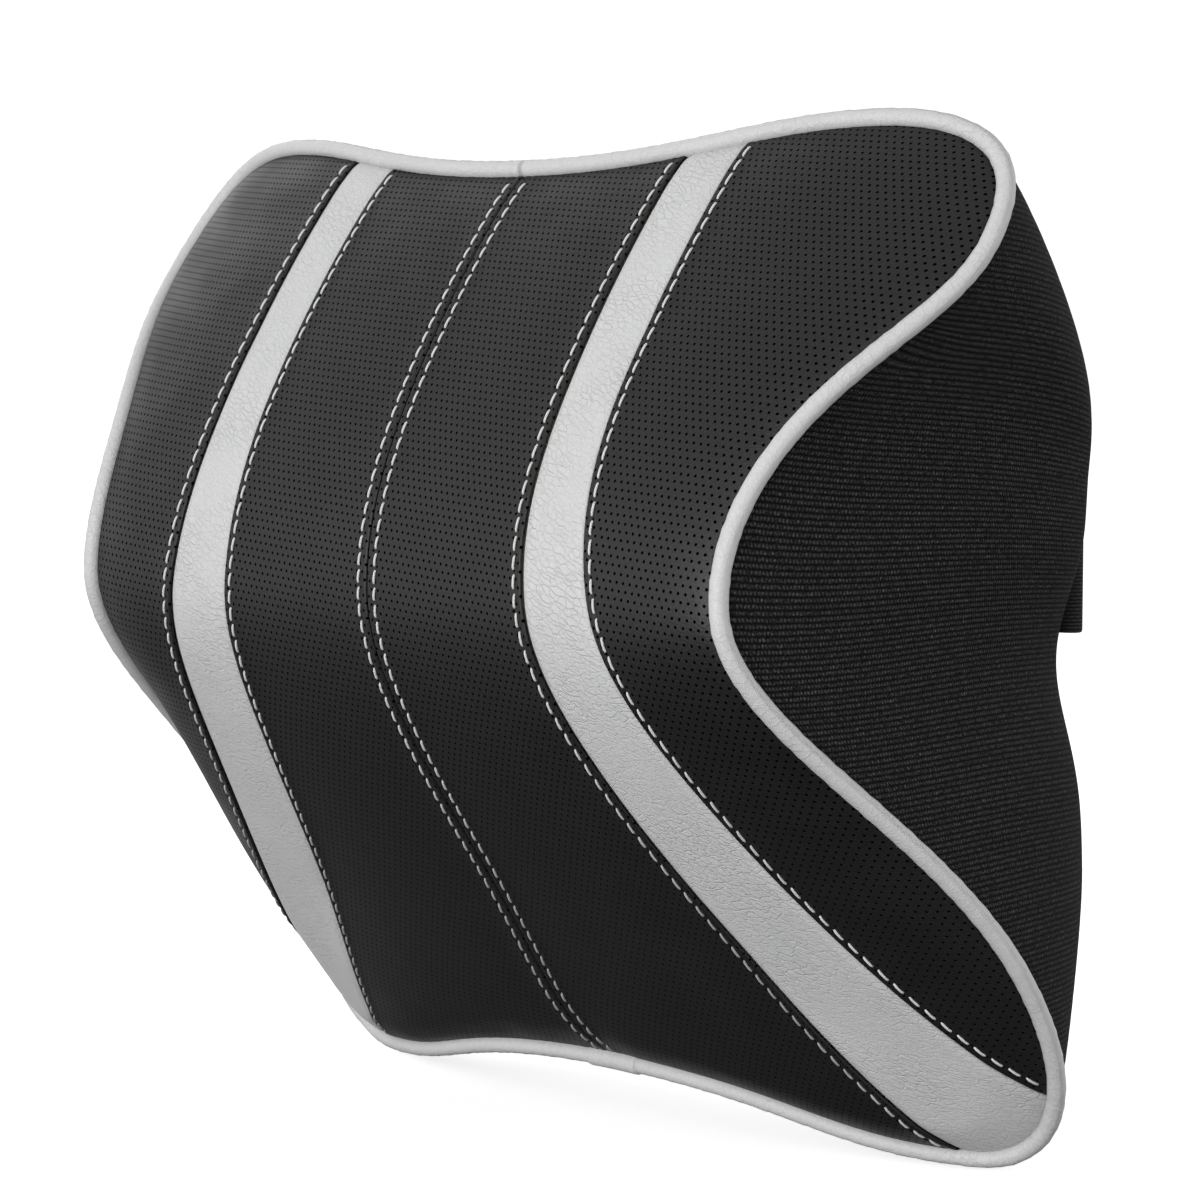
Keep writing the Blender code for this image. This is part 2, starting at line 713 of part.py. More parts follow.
def buckle_male(mat):
    """The plug: a base with a bar for the strap, a middle guide and a spring arm on each side."""
    x0 = MOUTH_X + 0.6
    outline = [
        (x0, 15.0),
        (x0 + MALE_BASE, 15.0),
        (x0 + MALE_BASE, -15.0),
        (x0, -15.0),
        (x0, -12.6),
        (x0 - 8.0, -11.6),
        (x0 - 12.0, -13.1),
        (x0 - 20.0, -12.6),
        (x0 - PRONG_L, -9.8),
        (x0 - PRONG_L, -8.0),
        (x0 - 17.0, -8.0),
        (x0, -9.6),
        (x0, -1.8),
        (x0 - PRONG_L + 2.0, -1.4),
        (x0 - PRONG_L + 2.0, 1.4),
        (x0, 1.8),
        (x0, 9.6),
        (x0 - 17.0, 8.0),
        (x0 - PRONG_L, 8.0),
        (x0 - PRONG_L, 9.8),
        (x0 - 20.0, 12.6),
        (x0 - 12.0, 13.1),
        (x0 - 8.0, 11.6),
        (x0, 12.6),
    ]
    bm = bmesh.new()
    low = [bm.verts.new((x, BUCKLE_Y - 3.0, STRAP_Z + z)) for x, z in outline]
    face = bm.faces.new(low)
    grown = bmesh.ops.extrude_face_region(bm, geom=[face])["geom"]
    top = [item for item in grown if isinstance(item, bmesh.types.BMVert)]
    bmesh.ops.translate(bm, verts=top, vec=(0.0, 6.0, 0.0))
    body = add_object("buckle_male", bm, mat, (MOUTH_X, BUCKLE_Y, STRAP_Z))
    slot = box_mesh((x0 + 8.0, x0 + 13.5), (BUCKLE_Y - 6.0, BUCKLE_Y + 6.0), (STRAP_Z - 13.0, STRAP_Z + 13.0))
    cut(body, add_object("male_slot_cutter", slot, mat))
    above = box_mesh((x0 + 13.0, x0 + 22.0), (BUCKLE_Y + 1.6, BUCKLE_Y + 6.0), (STRAP_Z - 13.0, STRAP_Z + 13.0))
    cut(body, add_object("male_bar_top_cutter", above, mat))
    below = box_mesh((x0 + 13.0, x0 + 22.0), (BUCKLE_Y - 6.0, BUCKLE_Y - 1.6), (STRAP_Z - 13.0, STRAP_Z + 13.0))
    cut(body, add_object("male_bar_low_cutter", below, mat))
    return body


def strap_adjuster(mat):
    """A three-bar slide: the strap passes under its end bars and over its middle bar."""
    x = (GLIDE_X - GLIDE_L / 2, GLIDE_X + GLIDE_L / 2)
    y = (STRAP_Y - STRAP_T / 2 - 1.8, STRAP_Y + STRAP_T * 1.5 + 2.2)
    z = (STRAP_Z - 16.0, STRAP_Z + 16.0)
    frame = add_object("strap_adjuster", box_mesh(x, y, z), mat, (GLIDE_X, BUCKLE_Y, STRAP_Z))
    round_edges(frame, 0.8, 1)
    room_y = (STRAP_Y - STRAP_T / 2 - 0.4, STRAP_Y + STRAP_T * 1.5 + 0.7)
    room_z = (STRAP_Z - 13.0, STRAP_Z + 13.0)
    room = box_mesh((x[0] - 2.0, x[1] + 2.0), room_y, room_z)
    cut(frame, add_object("glide_room_cutter", room, mat))
    top = box_mesh((x[0] + 3.2, x[1] - 3.2), (room_y[1] - 1.0, y[1] + 2.0), room_z)
    cut(frame, add_object("glide_top_cutter", top, mat))
    for word, ends in (("near", (x[0] - 2.0, GLIDE_X - 2.0)), ("far", (GLIDE_X + 2.0, x[1] + 2.0))):
        low = box_mesh(ends, (y[0] - 2.0, room_y[0] + 1.0), room_z)
        cut(frame, add_object("glide_low_cutter_" + word, low, mat))
    return frame


def main():
    for item in list(bpy.data.objects):
        bpy.data.objects.remove(item, do_unlink=True)

    black = material("black_leatherette", (0.035, 0.036, 0.040), 0.42)
    grey = material("light_grey_leatherette", (0.66, 0.66, 0.67), 0.45)
    knit = material("black_knit", (0.012, 0.012, 0.014), 0.85)
    foam = material("memory_foam", (0.82, 0.76, 0.58), 0.9)
    webbing = material("black_webbing", (0.015, 0.015, 0.016), 0.8)
    plastic = material("black_acetal", (0.02, 0.02, 0.022), 0.35)
    tape = material("zip_tape_cloth", (0.018, 0.018, 0.02), 0.8)
    nickel = material("blackened_zinc", (0.16, 0.16, 0.17), 0.35, 1.0)
    satin = material("white_satin", (0.8, 0.8, 0.8), 0.5)

    foam_core(foam)
    front_panels(1.0, "right", black, grey)
    front_panels(-1.0, "left", black, grey)
    back_cover(knit)
    edge_piping(grey)
    care_label(satin)

    zip_fastener(tape, plastic, nickel)
    slider_axis = add_axis("zip_slide_axis", (SLIDER_X, PIN_Y, ZIP_Z))
    hang(zip_slider(nickel), slider_axis)
    pull_axis = add_axis("zip_pull_axis", (SLIDER_X, PIN_Y, ZIP_Z))
    hang(pull_axis, slider_axis)
    hang(zip_pull(nickel), pull_axis)

    buckle_female(plastic)
    plug_axis = add_axis("buckle_slide_axis", (MOUTH_X, BUCKLE_Y, STRAP_Z))
    hang(buckle_male(plastic), plug_axis)
    hang(strap(webbing), plug_axis)
    glide_axis = add_axis("adjuster_slide_axis", (GLIDE_X, BUCKLE_Y, STRAP_Z))
    hang(glide_axis, plug_axis)
    hang(strap_adjuster(plastic), glide_axis)
    strap_anchor("left", -1.0, webbing)
    strap_anchor("right", 1.0, webbing)


main()
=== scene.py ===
"""Looks of the strapped headrest cushion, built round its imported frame.

Lengths in this file are millimetres, turned into metres as each mesh is made. The frame is the
part's own: +Z up, the face the neck rests on looks along -Y, and the flat back lies in y = 0.
"""

import math
from contextlib import contextmanager

import bmesh
import bpy
import numpy as np
from mathutils import Matrix, Vector
from mathutils.kdtree import KDTree


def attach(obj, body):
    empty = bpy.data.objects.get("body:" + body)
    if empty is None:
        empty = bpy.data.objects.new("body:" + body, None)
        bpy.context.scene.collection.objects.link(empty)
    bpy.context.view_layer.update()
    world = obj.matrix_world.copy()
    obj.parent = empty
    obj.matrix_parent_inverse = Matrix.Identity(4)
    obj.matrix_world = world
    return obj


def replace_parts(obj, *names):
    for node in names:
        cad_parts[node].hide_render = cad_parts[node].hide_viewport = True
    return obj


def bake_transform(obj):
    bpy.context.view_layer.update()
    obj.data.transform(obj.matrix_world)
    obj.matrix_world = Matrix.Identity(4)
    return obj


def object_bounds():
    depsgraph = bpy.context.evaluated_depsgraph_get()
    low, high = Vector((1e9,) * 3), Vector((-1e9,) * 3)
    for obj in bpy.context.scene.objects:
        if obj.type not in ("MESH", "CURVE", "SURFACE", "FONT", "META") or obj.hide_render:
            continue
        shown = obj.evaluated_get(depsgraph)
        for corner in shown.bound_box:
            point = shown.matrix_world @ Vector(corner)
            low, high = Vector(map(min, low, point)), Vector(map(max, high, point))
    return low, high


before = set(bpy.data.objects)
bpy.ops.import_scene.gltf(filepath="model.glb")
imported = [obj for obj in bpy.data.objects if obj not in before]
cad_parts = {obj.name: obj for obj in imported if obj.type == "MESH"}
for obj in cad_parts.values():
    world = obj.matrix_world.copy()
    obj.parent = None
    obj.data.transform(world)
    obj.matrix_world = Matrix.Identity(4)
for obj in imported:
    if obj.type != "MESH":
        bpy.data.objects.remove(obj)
cad_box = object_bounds()

MM = 0.001
SIDES = (("right", 1.0), ("left", -1.0))

# ---- The cushion's driving sizes, as in the part's own source

# x and z of each knot of the half outline, from the top middle round to the bottom middle, and the
# axis the line runs along there
# fmt: off
FRONT_KNOTS = (
    (0.0, 109.0, "x"), (104.0, 118.0, "x"), (142.5, 89.0, "z"), (112.3, 14.5, "z"),
    (137.0, -78.6, "z"), (106.0, -128.5, "x"), (0.0, -116.7, "x"),
)
BACK_KNOTS = (
    (0.0, 84.0, "x"), (55.0, 75.0, "x"), (118.0, 46.0, "z"), (116.0, 12.0, "z"),
    (115.8, -53.0, "z"), (59.5, -94.7, "x"), (0.0, -95.0, "x"),
)
# fmt: on
STRENGTH = ((0.51, 0.32), (0.71, 0.62), (0.29, 0.60), (0.39, 0.38), (0.57, 0.65), (0.39, 0.59))
LAST = float(len(STRENGTH))
CREST = 127.0
CREST_Z = 7.4
FALL_UP = (68.6, 69.7)
FALL_DOWN = (23.4, 28.5)
CROSS_FALL = 8.6
CROSS_FALL_UP = 12.7
CROSS_FALL_DOWN = 25.1
CROSS_REACH = 32.5
CROSS_POWER = 4.25
HALF_WIDTH = 143.0
BACK_DROP = 0.9
SIDE_SWELL = 26.6
SIDE_REACH = 55.5
SWELL_Z = 11.5
SQUARE_TOP = 1.08
SQUARE_BOTTOM = 1.29
SQUARE_MIDDLE = 1.7
SQUARE_WAIST = 2.37
CORNER_X = (45.0, 95.0)
PINCH = 11.2
PINCH_Z = -7.7
PINCH_REACH = 24.0
FLAT_SHARE = 0.94
FLAT_NOTCH = 26.0
FLAT_NOTCH_REACH = 30.0
SEAM_CENTRE = 0.05
STRIPE_INNER = (52.4, 47.2, 37.1, 158.0, 2.1)
STRIPE_OUTER = (69.5, 62.0, 55.0, 168.0, 1.96)
ZIP_Z = -62.0
ZIP_HALF = 86.0
SLOT_HALF = 5.5
STRAP_W = 25.0
STRAP_T = 1.6
STRAP_Z = 9.0
STRAP_Y = 11.0
MOUTH_X = -20.0
FEMALE_L = 41.0
MALE_BASE = 18.0

# ---- Sewing, measured along the surface

LEATHER = 1.2
ROW_STRIPE = 2.4
ROW_CENTRE = 2.8
PITCH_STRIPE = 4.4
PITCH_CENTRE = 4.1
STITCH_GAP = 1.0
THREAD_R = 0.31
RIM_IN = 0.6
PIPING_SUNK = 0.4
WELT_R = 2.25
SLEEVE_L = 18.5
SLEEVE_FROM = 11.0
SEAM_GAP = 0.1
KNIT = 1.2
KNIT_FOLD = (3.0, 2.0)
LABEL = 0.3
LABEL_ACROSS = (4.98, 5.24)
LABEL_DOWN = (0.34, 0.58)
SEWN_Y = 3.62

# ---- Padding

VOXEL = 5.5
SIM_FRAMES = 20
COVER_CLOTH = {
    "quality": 6,
    "mass": 0.25,
    "tension_stiffness": 20.0,
    "compression_stiffness": 12.0,
    "bending_stiffness": 1.5,
    "use_pressure": True,
    "uniform_pressure_force": 4.0,
    "pin_stiffness": 1.0,
}
PUFF_CAP = 2.6
FOAM_INSET = 2.4
ZIP_ROOM = 5.5
TUCK = (2.0, 4.8, 0.0)
TUCK_REACH = 13.0
SWELL_LOW = 2.6
SWELL_HIGH = 0.8


# ---- Shape of the cushion


def mix(a, b, t):
    return a + (b - a) * t


def unit(vectors):
    return vectors / np.linalg.norm(vectors, axis=-1, keepdims=True)


def lengths(path):
    """Length along a path up to each of its points."""
    return np.r_[0.0, np.cumsum(np.linalg.norm(np.diff(path, axis=0), axis=1))]


def along_path(at, run, path):
    """Points at those lengths along a path."""
    return np.stack([np.interp(at, run, axis) for axis in path.T], 1)


def smooth(low, high, value):
    """0 below the low value and 1 above the high one, eased between them."""
    t = np.clip((value - low) / (high - low), 0.0, 1.0)
    return t * t * (3.0 - 2.0 * t)


def knot_line(knots, u):
    """Points x and z on a line of knots; u counts the stretches passed."""
    u = np.atleast_1d(np.asarray(u, float))
    index = np.minimum(u.astype(int), len(STRENGTH) - 1)
    t = (u - index)[:, None]
    places = np.array([knot[:2] for knot in knots])
    runs = np.array([(knot[2] == "x", knot[2] == "z") for knot in knots])
    hold = np.array(STRENGTH)[index]
    start, end = places[index], places[index + 1]
    leave = np.where(runs[index], mix(start, end, hold[:, :1]), start)
    arrive = np.where(runs[index + 1], mix(end, start, hold[:, 1:]), end)
    near, far = 3 * t * (1 - t) ** 2, 3 * t * t * (1 - t)
    return (1 - t) ** 3 * start + near * leave + far * arrive + t**3 * end


def inward(along):
    """Unit vectors to the right of each direction in the plane, which is inwards along the piping."""
    along = unit(along)
    return np.stack([along[:, 1], -along[:, 0]], 1)


def front_line(u, inset=0.0):
    """The piping's line in x and z, or a line that far inside it."""
    here = knot_line(FRONT_KNOTS, u)
    if not inset:
        return here
    u = np.atleast_1d(np.asarray(u, float))
    after, before = np.minimum(u + 0.01, LAST), np.maximum(u - 0.01, 0.0)
    return here + inward(knot_line(FRONT_KNOTS, after) - knot_line(FRONT_KNOTS, before)) * inset


def spread(start, end, count):
    """Values of u from start to end, evenly spaced along the piping's line."""
    fine = np.linspace(start, end, 1201)
    run = lengths(front_line(fine))
    return np.interp(np.linspace(0.0, run[-1], count + 1), run, fine)


def crown(z):
    rise = np.where(z > CREST_Z, FALL_UP[0], FALL_DOWN[0])
    reach = np.where(z > CREST_Z, FALL_UP[1], FALL_DOWN[1])
    return CREST - rise * (np.sqrt(1.0 + ((z - CREST_Z) / reach) ** 2) - 1.0)


def front_points(x, z):
    """Points of the face the neck rests on."""
    x, z = np.broadcast_arrays(np.asarray(x, float), np.asarray(z, float))
    extra = np.where(z > CREST_Z, CROSS_FALL_UP, CROSS_FALL_DOWN)
    fall = CROSS_FALL + extra * (1.0 - np.exp(-(((z - CREST_Z) / CROSS_REACH) ** 2)))
    return np.stack([x, fall * (np.abs(x) / HALF_WIDTH) ** CROSS_POWER - crown(z), z], -1)


def front_normals(x, z):
    step = 0.2
    dx = front_points(x + step, z)[..., 1] - front_points(x - step, z)[..., 1]
    dz = front_points(x, z + step)[..., 1] - front_points(x, z - step)[..., 1]
    return unit(np.stack([dx / (2 * step), np.full_like(dx, -1.0), dz / (2 * step)], -1))


def cover_points(flat, height):
    """Points at a height above the face, over x and z."""
    x, z = flat.T
    return front_points(x, z) + front_normals(x, z) * np.reshape(height, (-1, 1))


def side_points(u, turn):
    """Right-hand side surface: turn 0 is on the piping's line and turn 1 where it meets the back."""
    line = front_line(u)
    start = front_points(line[:, 0], line[:, 1])
    end = knot_line(BACK_KNOTS, u)
    waist = np.exp(-(((start[:, 2] - SWELL_Z) / SIDE_REACH) ** 2))
    corner = mix(SQUARE_BOTTOM, SQUARE_TOP, np.clip((start[:, 2] + 60.0) / 120.0, 0.0, 1.0))
    base = mix(SQUARE_MIDDLE, corner, smooth(*CORNER_X, start[:, 0]))
    square = mix(base, SQUARE_WAIST, waist)
    back = np.sin(turn * math.pi / 2) ** (2 / square)
    front = np.clip(np.cos(turn * math.pi / 2), 0.0, 1.0) ** (2 / square)
    x = mix(end[:, 0], start[:, 0], front) + SIDE_SWELL * waist * (back + front - 1.0)
    z = mix(end[:, 1], start[:, 2], front)
    x = x - PINCH * np.exp(-(((z - PINCH_Z) / PINCH_REACH) ** 2)) * back**2 * np.minimum(x / 60.0, 1.0)
    return np.stack([x, mix(start[:, 1], -BACK_DROP, back), z], -1)


def flat_points(u):
    """Edge of the true flat on the back, drawn in further where the strap is sewn on."""
    edge = side_points(u, 1.0) * FLAT_SHARE
    notch = FLAT_NOTCH * np.exp(-(((edge[:, 2] - STRAP_Z) / FLAT_NOTCH_REACH) ** 2))
    x = edge[:, 0] - notch * np.minimum(edge[:, 0] / 60.0, 1.0)
    return np.stack([x, np.zeros_like(x), edge[:, 2]], -1)


def seam_centre(z):
    return np.full(np.shape(z), SEAM_CENTRE)


def flared(z, straight, spread_by, top, reach, power):
    """A seam that runs straight down from the top of the face and flares outwards below a height."""
    return straight + spread_by * (np.maximum(top - np.asarray(z, float), 0.0) / reach) ** power


def seam_inner(z):
    return flared(z, *STRIPE_INNER)


def seam_outer(z):
    return flared(z, *STRIPE_OUTER)


# Length along the face's centre line, so that distances on the cloth can be measured flat
PROFILE_Z = np.linspace(-140.0, 130.0, 1081)
PROFILE_S = np.r_[0.0, np.cumsum(np.hypot(np.diff(PROFILE_Z), np.diff(crown(PROFILE_Z))))]


def unroll(flat):
    """x and z on the face, turned into x and length along the face."""
    return np.stack([flat[..., 0], np.interp(flat[..., 1], PROFILE_Z, PROFILE_S)], -1)


def roll_up(cloth):
    return np.stack([cloth[..., 0], np.interp(cloth[..., 1], PROFILE_S, PROFILE_Z)], -1)


def seam_cloth(seam, low, high, count):
    """A seam's line on the cloth between two heights."""
    z = np.linspace(low, high, count)
    return unroll(np.stack([seam(z), z], 1))


def reach_of(points, line):
    """Distance from each point to a polyline, both in the plane or both in space."""
    a, b = line[:-1], line[1:]
    d = b - a
    length = np.maximum((d**2).sum(1), 1e-12)
    best = np.full(len(points), 1e9)
    for i in range(0, len(points), 2000):
        p = points[i : i + 2000, None, :]
        t = np.clip(((p - a) * d).sum(2) / length, 0.0, 1.0)
        best[i : i + 2000] = np.linalg.norm(p - (a + d * t[..., None]), axis=2).min(1)
    return best


# ---- Meshes


def link(made):
    bpy.context.scene.collection.objects.link(made)
    return made


@contextmanager
def edited(mesh):
    """The mesh opened for editing, and written back."""
    bm = bmesh.new()
    bm.from_mesh(mesh)
    yield bm
    bm.to_mesh(mesh)
    bm.free()


def smoothed(name, mesh):
    """An object with that mesh, shaded smooth."""
    mesh.polygons.foreach_set("use_smooth", [True] * len(mesh.polygons))
    return link(bpy.data.objects.new(name, mesh))


def make_object(name, verts, faces, mat=None, cloth=None, body="cushion"):
    """A smooth-shaded mesh from points in millimetres, riding on a body, with its finish."""
    mesh = bpy.data.meshes.new(name)
    corners = [tuple(int(i) for i in face) for face in faces]
    mesh.from_pydata((np.asarray(verts, float) * MM).tolist(), [], corners)
    mesh.validate()
    if cloth is not None:
        held = mesh.attributes.new("cloth", "FLOAT_VECTOR", "POINT")
        held.data.foreach_set("vector", np.asarray(cloth, np.float32).ravel())
    made = smoothed(name, mesh)
    if mat is not None:
        mesh.materials.append(mat)
    if body:
        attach(made, body)
    return made


def grid_faces(rows, columns, closed=False, start=0):
    """Quads over a grid of points laid out row by row; closed joins each row's end to its start."""
    j, i = np.meshgrid(np.arange(rows - 1), np.arange(columns if closed else columns - 1), indexing="ij")
    k = (i + 1) % columns
    quads = np.stack([j * columns + i, j * columns + k, (j + 1) * columns + k, (j + 1) * columns + i], -1)
    return quads.reshape(-1, 4) + start


def capped(rows, columns):
    """Faces of a stack of closed rings with both ends filled."""
    last = (rows - 1) * columns
    ends = [list(range(columns))[::-1], [last + i for i in range(columns)]]
    return grid_faces(rows, columns, closed=True).tolist() + ends


def modify(piece, kind, **settings):
    """Adds a modifier with its settings."""
    made = piece.modifiers.new(kind.lower(), kind)
    for key, value in settings.items():
        setattr(made, key, value)
    return made


def thicken(piece, thickness, offset=-1.0):
    modify(piece, "SOLIDIFY", thickness=thickness * MM, offset=offset)


def tube(path, radius, sides, closed=False):
    """Points and faces of a tube along a path; the radius may differ from point to point."""
    path = np.asarray(path, float)
    radius = np.broadcast_to(np.asarray(radius, float), (len(path),))
    if closed:
        along = np.roll(path, -1, 0) - np.roll(path, 1, 0)
    else:
        along = np.gradient(path, axis=0)
    along = unit(along)
    guide = (0.0, 1.0, 0.0) if abs(along[:, 1]).mean() < 0.8 else (0.0, 0.0, 1.0)
    across = unit(np.cross(along, guide))
    up = np.cross(across, along)
    angle = np.arange(sides) * 2 * math.pi / sides
    ring = across[:, None, :] * np.cos(angle)[None, :, None]
    ring = ring + up[:, None, :] * np.sin(angle)[None, :, None]
    verts = (path[:, None, :] + ring * radius[:, None, None]).reshape(-1, 3)
    if not closed:
        return verts, capped(len(path), sides)
    last = (len(path) - 1) * sides
    joint = [[last + i, last + (i + 1) % sides, (i + 1) % sides, i] for i in range(sides)]
    return verts, grid_faces(len(path), sides, closed=True).tolist() + joint


def strands(name, paths, radius, mat):
    """One mesh of short lengths of thread or wire, each along its own path."""
    verts, faces, count = [], [], 0
    for points, polygons in (tube(path, radius, 6) for path in paths):
        verts.append(points)
        faces += [[i + count for i in polygon] for polygon in polygons]
        count += len(points)
    return make_object(name, np.concatenate(verts), faces, mat)


# ---- Padding: a pressed-out body whose movement shapes every cover


def loop_values(count):
    """u round the whole cushion with the side it is on, 1 for right and -1 for left."""
    right = spread(0.0, LAST, count)
    u = np.r_[right, right[-2:0:-1]]
    side = np.r_[np.ones(count + 1), -np.ones(count - 1)]
    return u, side


def sided(points, side):
    return points * np.stack([side, np.ones_like(side), np.ones_like(side)], -1)


def body_mesh(inset):
    """A closed body under the covers: rings over the face, round the sides and in over the back."""
    u, side = loop_values(90)
    line = front_line(u, 1.0)
    middle = np.array([0.0, -6.0])
    flats = [mix(middle, line, share) for share in np.linspace(0.06, 1.0, 18)]
    rings = [front_points(*flat.T) for flat in flats]
    rings += [side_points(u, turn) for turn in np.linspace(0.08, 1.0, 16)]
    rings += [flat_points(u) * (share, 1.0, share) for share in (1.0, 0.75, 0.45, 0.15)]
    verts = np.concatenate([sided(ring, side) for ring in rings])
    made = make_object("cushion_foam", verts, capped(len(rings), len(u)), body=None)
    with edited(made.data) as bm:
        bmesh.ops.recalc_face_normals(bm, faces=bm.faces)
        bm.normal_update()
        for vert in bm.verts:
            vert.co -= vert.normal * inset * MM
    return made


def coordinates(mesh):
    found = np.zeros(len(mesh.vertices) * 3)
    mesh.vertices.foreach_get("co", found)
    return found.reshape(-1, 3)


def tied_down(points):
    """How firmly each point of the body is held: by the piping, the seams and the flat back."""
    mm = points / MM
    line = unroll(front_line(spread(0.0, LAST, 400)))
    flat = unroll(np.stack([np.abs(mm[:, 0]), mm[:, 2]], 1))
    on_face = np.abs(front_points(mm[:, 0], mm[:, 2])[:, 1] - mm[:, 1]) < 12.0
    rim = reach_of(flat, line)
    held = np.where(on_face, 1.0 - smooth(4.0, 12.0, rim), 0.0)
    for seam, grip in ((seam_centre, 0.55), (seam_inner, 0.6), (seam_outer, 0.6)):
        near = reach_of(flat, seam_cloth(seam, -128.0, 118.0, 160))
        held = np.maximum(held, np.where(on_face, grip * (1.0 - smooth(1.0, 7.0, near)), 0.0))
    return np.maximum(held, smooth(-9.0, -3.0, mm[:, 1]))


def simulate(body):
    """Remeshes the body evenly, presses it out as cloth, and returns where it was and how it moved."""
    bpy.context.view_layer.objects.active = body
    body.select_set(True)
    remesh = modify(body, "REMESH", mode="VOXEL", voxel_size=VOXEL * MM)
    bpy.ops.object.modifier_apply(modifier=remesh.name)
    rest = coordinates(body.data)
    group = body.vertex_groups.new(name="held")
    for index, weight in enumerate(tied_down(rest)):
        if weight > 0.01:
            group.add([index], float(weight), "REPLACE")
    cloth = modify(body, "CLOTH")
    for key, value in COVER_CLOTH.items():
        setattr(cloth.settings, key, value)
    cloth.settings.vertex_group_mass = group.name
    cloth.settings.effector_weights.gravity = 0.0
    cloth.point_cache.frame_start = 1
    cloth.point_cache.frame_end = SIM_FRAMES
    scene = bpy.context.scene
    for step in range(1, SIM_FRAMES + 1):
        scene.frame_set(step)
    evaluated = body.evaluated_get(bpy.context.evaluated_depsgraph_get())
    moved = coordinates(evaluated.data) - rest
    body.modifiers.clear()
    scene.frame_set(1)
    far = np.linalg.norm(moved, axis=1)
    most = PUFF_CAP * MM
    moved *= (most * np.tanh(far / most) / np.maximum(far, 1e-9))[:, None]
    edges = np.zeros(len(body.data.edges) * 2, int)
    body.data.edges.foreach_get("vertices", edges)
    a, b = edges.reshape(-1, 2).T
    share = np.bincount(a, minlength=len(rest)) + np.bincount(b, minlength=len(rest))
    for _ in range(3):
        total = moved.copy()
        np.add.at(total, a, moved[b])
        np.add.at(total, b, moved[a])
        moved = total / (share[:, None] + 1.0)
    body.data.vertices.foreach_set("co", (rest + moved).ravel())
    body.data.update()
    return rest, moved


def tuck(points):
    """Draws the rim back a little below the crest, on the left, where the face bulges over it."""
    points = np.array(points, float)
    z = points[:, 2]
    line = front_line(spread(0.0, LAST, 240))
    rim = reach_of(points * (-1.0, 1.0, 1.0), front_points(*line.T))
    share = np.exp(-((rim / TUCK_REACH) ** 2)) * (1.0 - smooth(-60.0, 15.0, z)) * smooth(-122.0, -102.0, z)
    return points + share[:, None] * np.array(TUCK)


def zip_room(body):
    """Draws the foam in behind the zip, to leave room for the slider and the lining."""
    points = tuck(coordinates(body.data) / MM)
    x, y, z = points.T
    near = (1.0 - smooth(14.0, 22.0, np.abs(z - ZIP_Z))) * (1.0 - smooth(92.0, 102.0, np.abs(x)))
    points[:, 1] -= ZIP_ROOM * near * smooth(-16.0, -8.0, y)
    body.data.vertices.foreach_set("co", (points * MM).ravel())
    body.data.update()


class Padding:
    """The movement of the pressed-out body, read anywhere near it."""

    def __init__(self, body):
        rest, moved = simulate(body)
        self.moved = moved / MM
        self.still = not np.abs(self.moved).max() > 0.0
        self.tree = KDTree(len(rest))
        for index, point in enumerate(rest / MM):
            self.tree.insert(point, index)
        self.tree.balance()

    def settle(self, points):
        """Points in millimetres, carried along with the padding under them."""
        out = tuck(points)
        if self.still:
            return out
        for i, point in enumerate(points):
            near = self.tree.find_n(point, 6)
            weights = np.array([1.0 / (found[2] ** 2 + 4.0) for found in near])
            out[i] += weights @ self.moved[[found[1] for found in near]] / weights.sum()
        return out


# ---- Front panels


def rim_share(seam, shift, at_top):
    """Where a seam between panels meets the rim of the face."""
    low, high = (0.0, 2.0) if at_top else (LAST, 4.0)
    for _ in range(40):
        middle = (low + high) / 2
        rim = front_line(middle, RIM_IN)[0]
        if rim[0] - seam(rim[1]) - shift < 0.0:
            low = middle
        else:
            high = middle
    return low


FINE = np.array([0.0, 0.2, 0.45, 0.75, 1.1, 1.5, 1.9, 2.3, 2.7, 3.2, 4.0, 5.2])


def graded(width, step):
    """Shares from 0 to 1, close together near both ends of that width."""
    fine = FINE[FINE < width * 0.45]
    middle = np.linspace(fine[-1], width - fine[-1], max(int((width - 2 * fine[-1]) / step), 1) + 1)
    return np.concatenate([fine, middle[1:-1], (width - fine)[::-1]]) / width


def seam_run(seam, shift, low, high, shares):
    bottom, top = front_line(low, RIM_IN)[0, 1], front_line(high, RIM_IN)[0, 1]
    z = mix(bottom, top, shares)
    return np.stack([seam(z) + shift, z], 1)


def rim_run(low, high, shares):
    fine = spread(low, high, 400)
    return front_line(np.interp(shares, np.linspace(0.0, 1.0, 401), fine), RIM_IN)


def coons(left, right, bottom, top, us, vs):
    """A net of x and z filled in between four edges."""
    u, v = us[None, :, None], vs[:, None, None]
    corners = mix(mix(bottom[0], bottom[-1], u), mix(top[0], top[-1], u), v)
    return mix(left[:, None], right[:, None], u) + mix(bottom[None], top[None], v) - corners


def fold(distance, radius, depth):
    """Depth of an edge that rolls under itself with that radius."""
    t = 1.0 - np.clip(distance / radius, 0.0, 1.0)
    return -depth * (1.0 - np.sqrt(np.maximum(1.0 - t**2, 0.0)))


def stitched_edge(distance, row):
    """Height of a leather edge folded under and topstitched at that distance from its seam."""
    lift = 0.16 * (1.0 - smooth(row + 0.2, row + 3.0, distance))
    dip = -0.24 * np.exp(-(((distance - row) / 0.5) ** 2))
    tight = row == ROW_CENTRE
    return fold(distance, 0.65 if tight else 0.7, 1.2 if tight else 1.1) + lift + dip


def tucked_edge(distance):
    """Height of a leather edge that runs in under its neighbour's fold."""
    return fold(distance, 0.9, 1.0) - 0.35 * (1.0 - smooth(0.6, 2.4, distance))


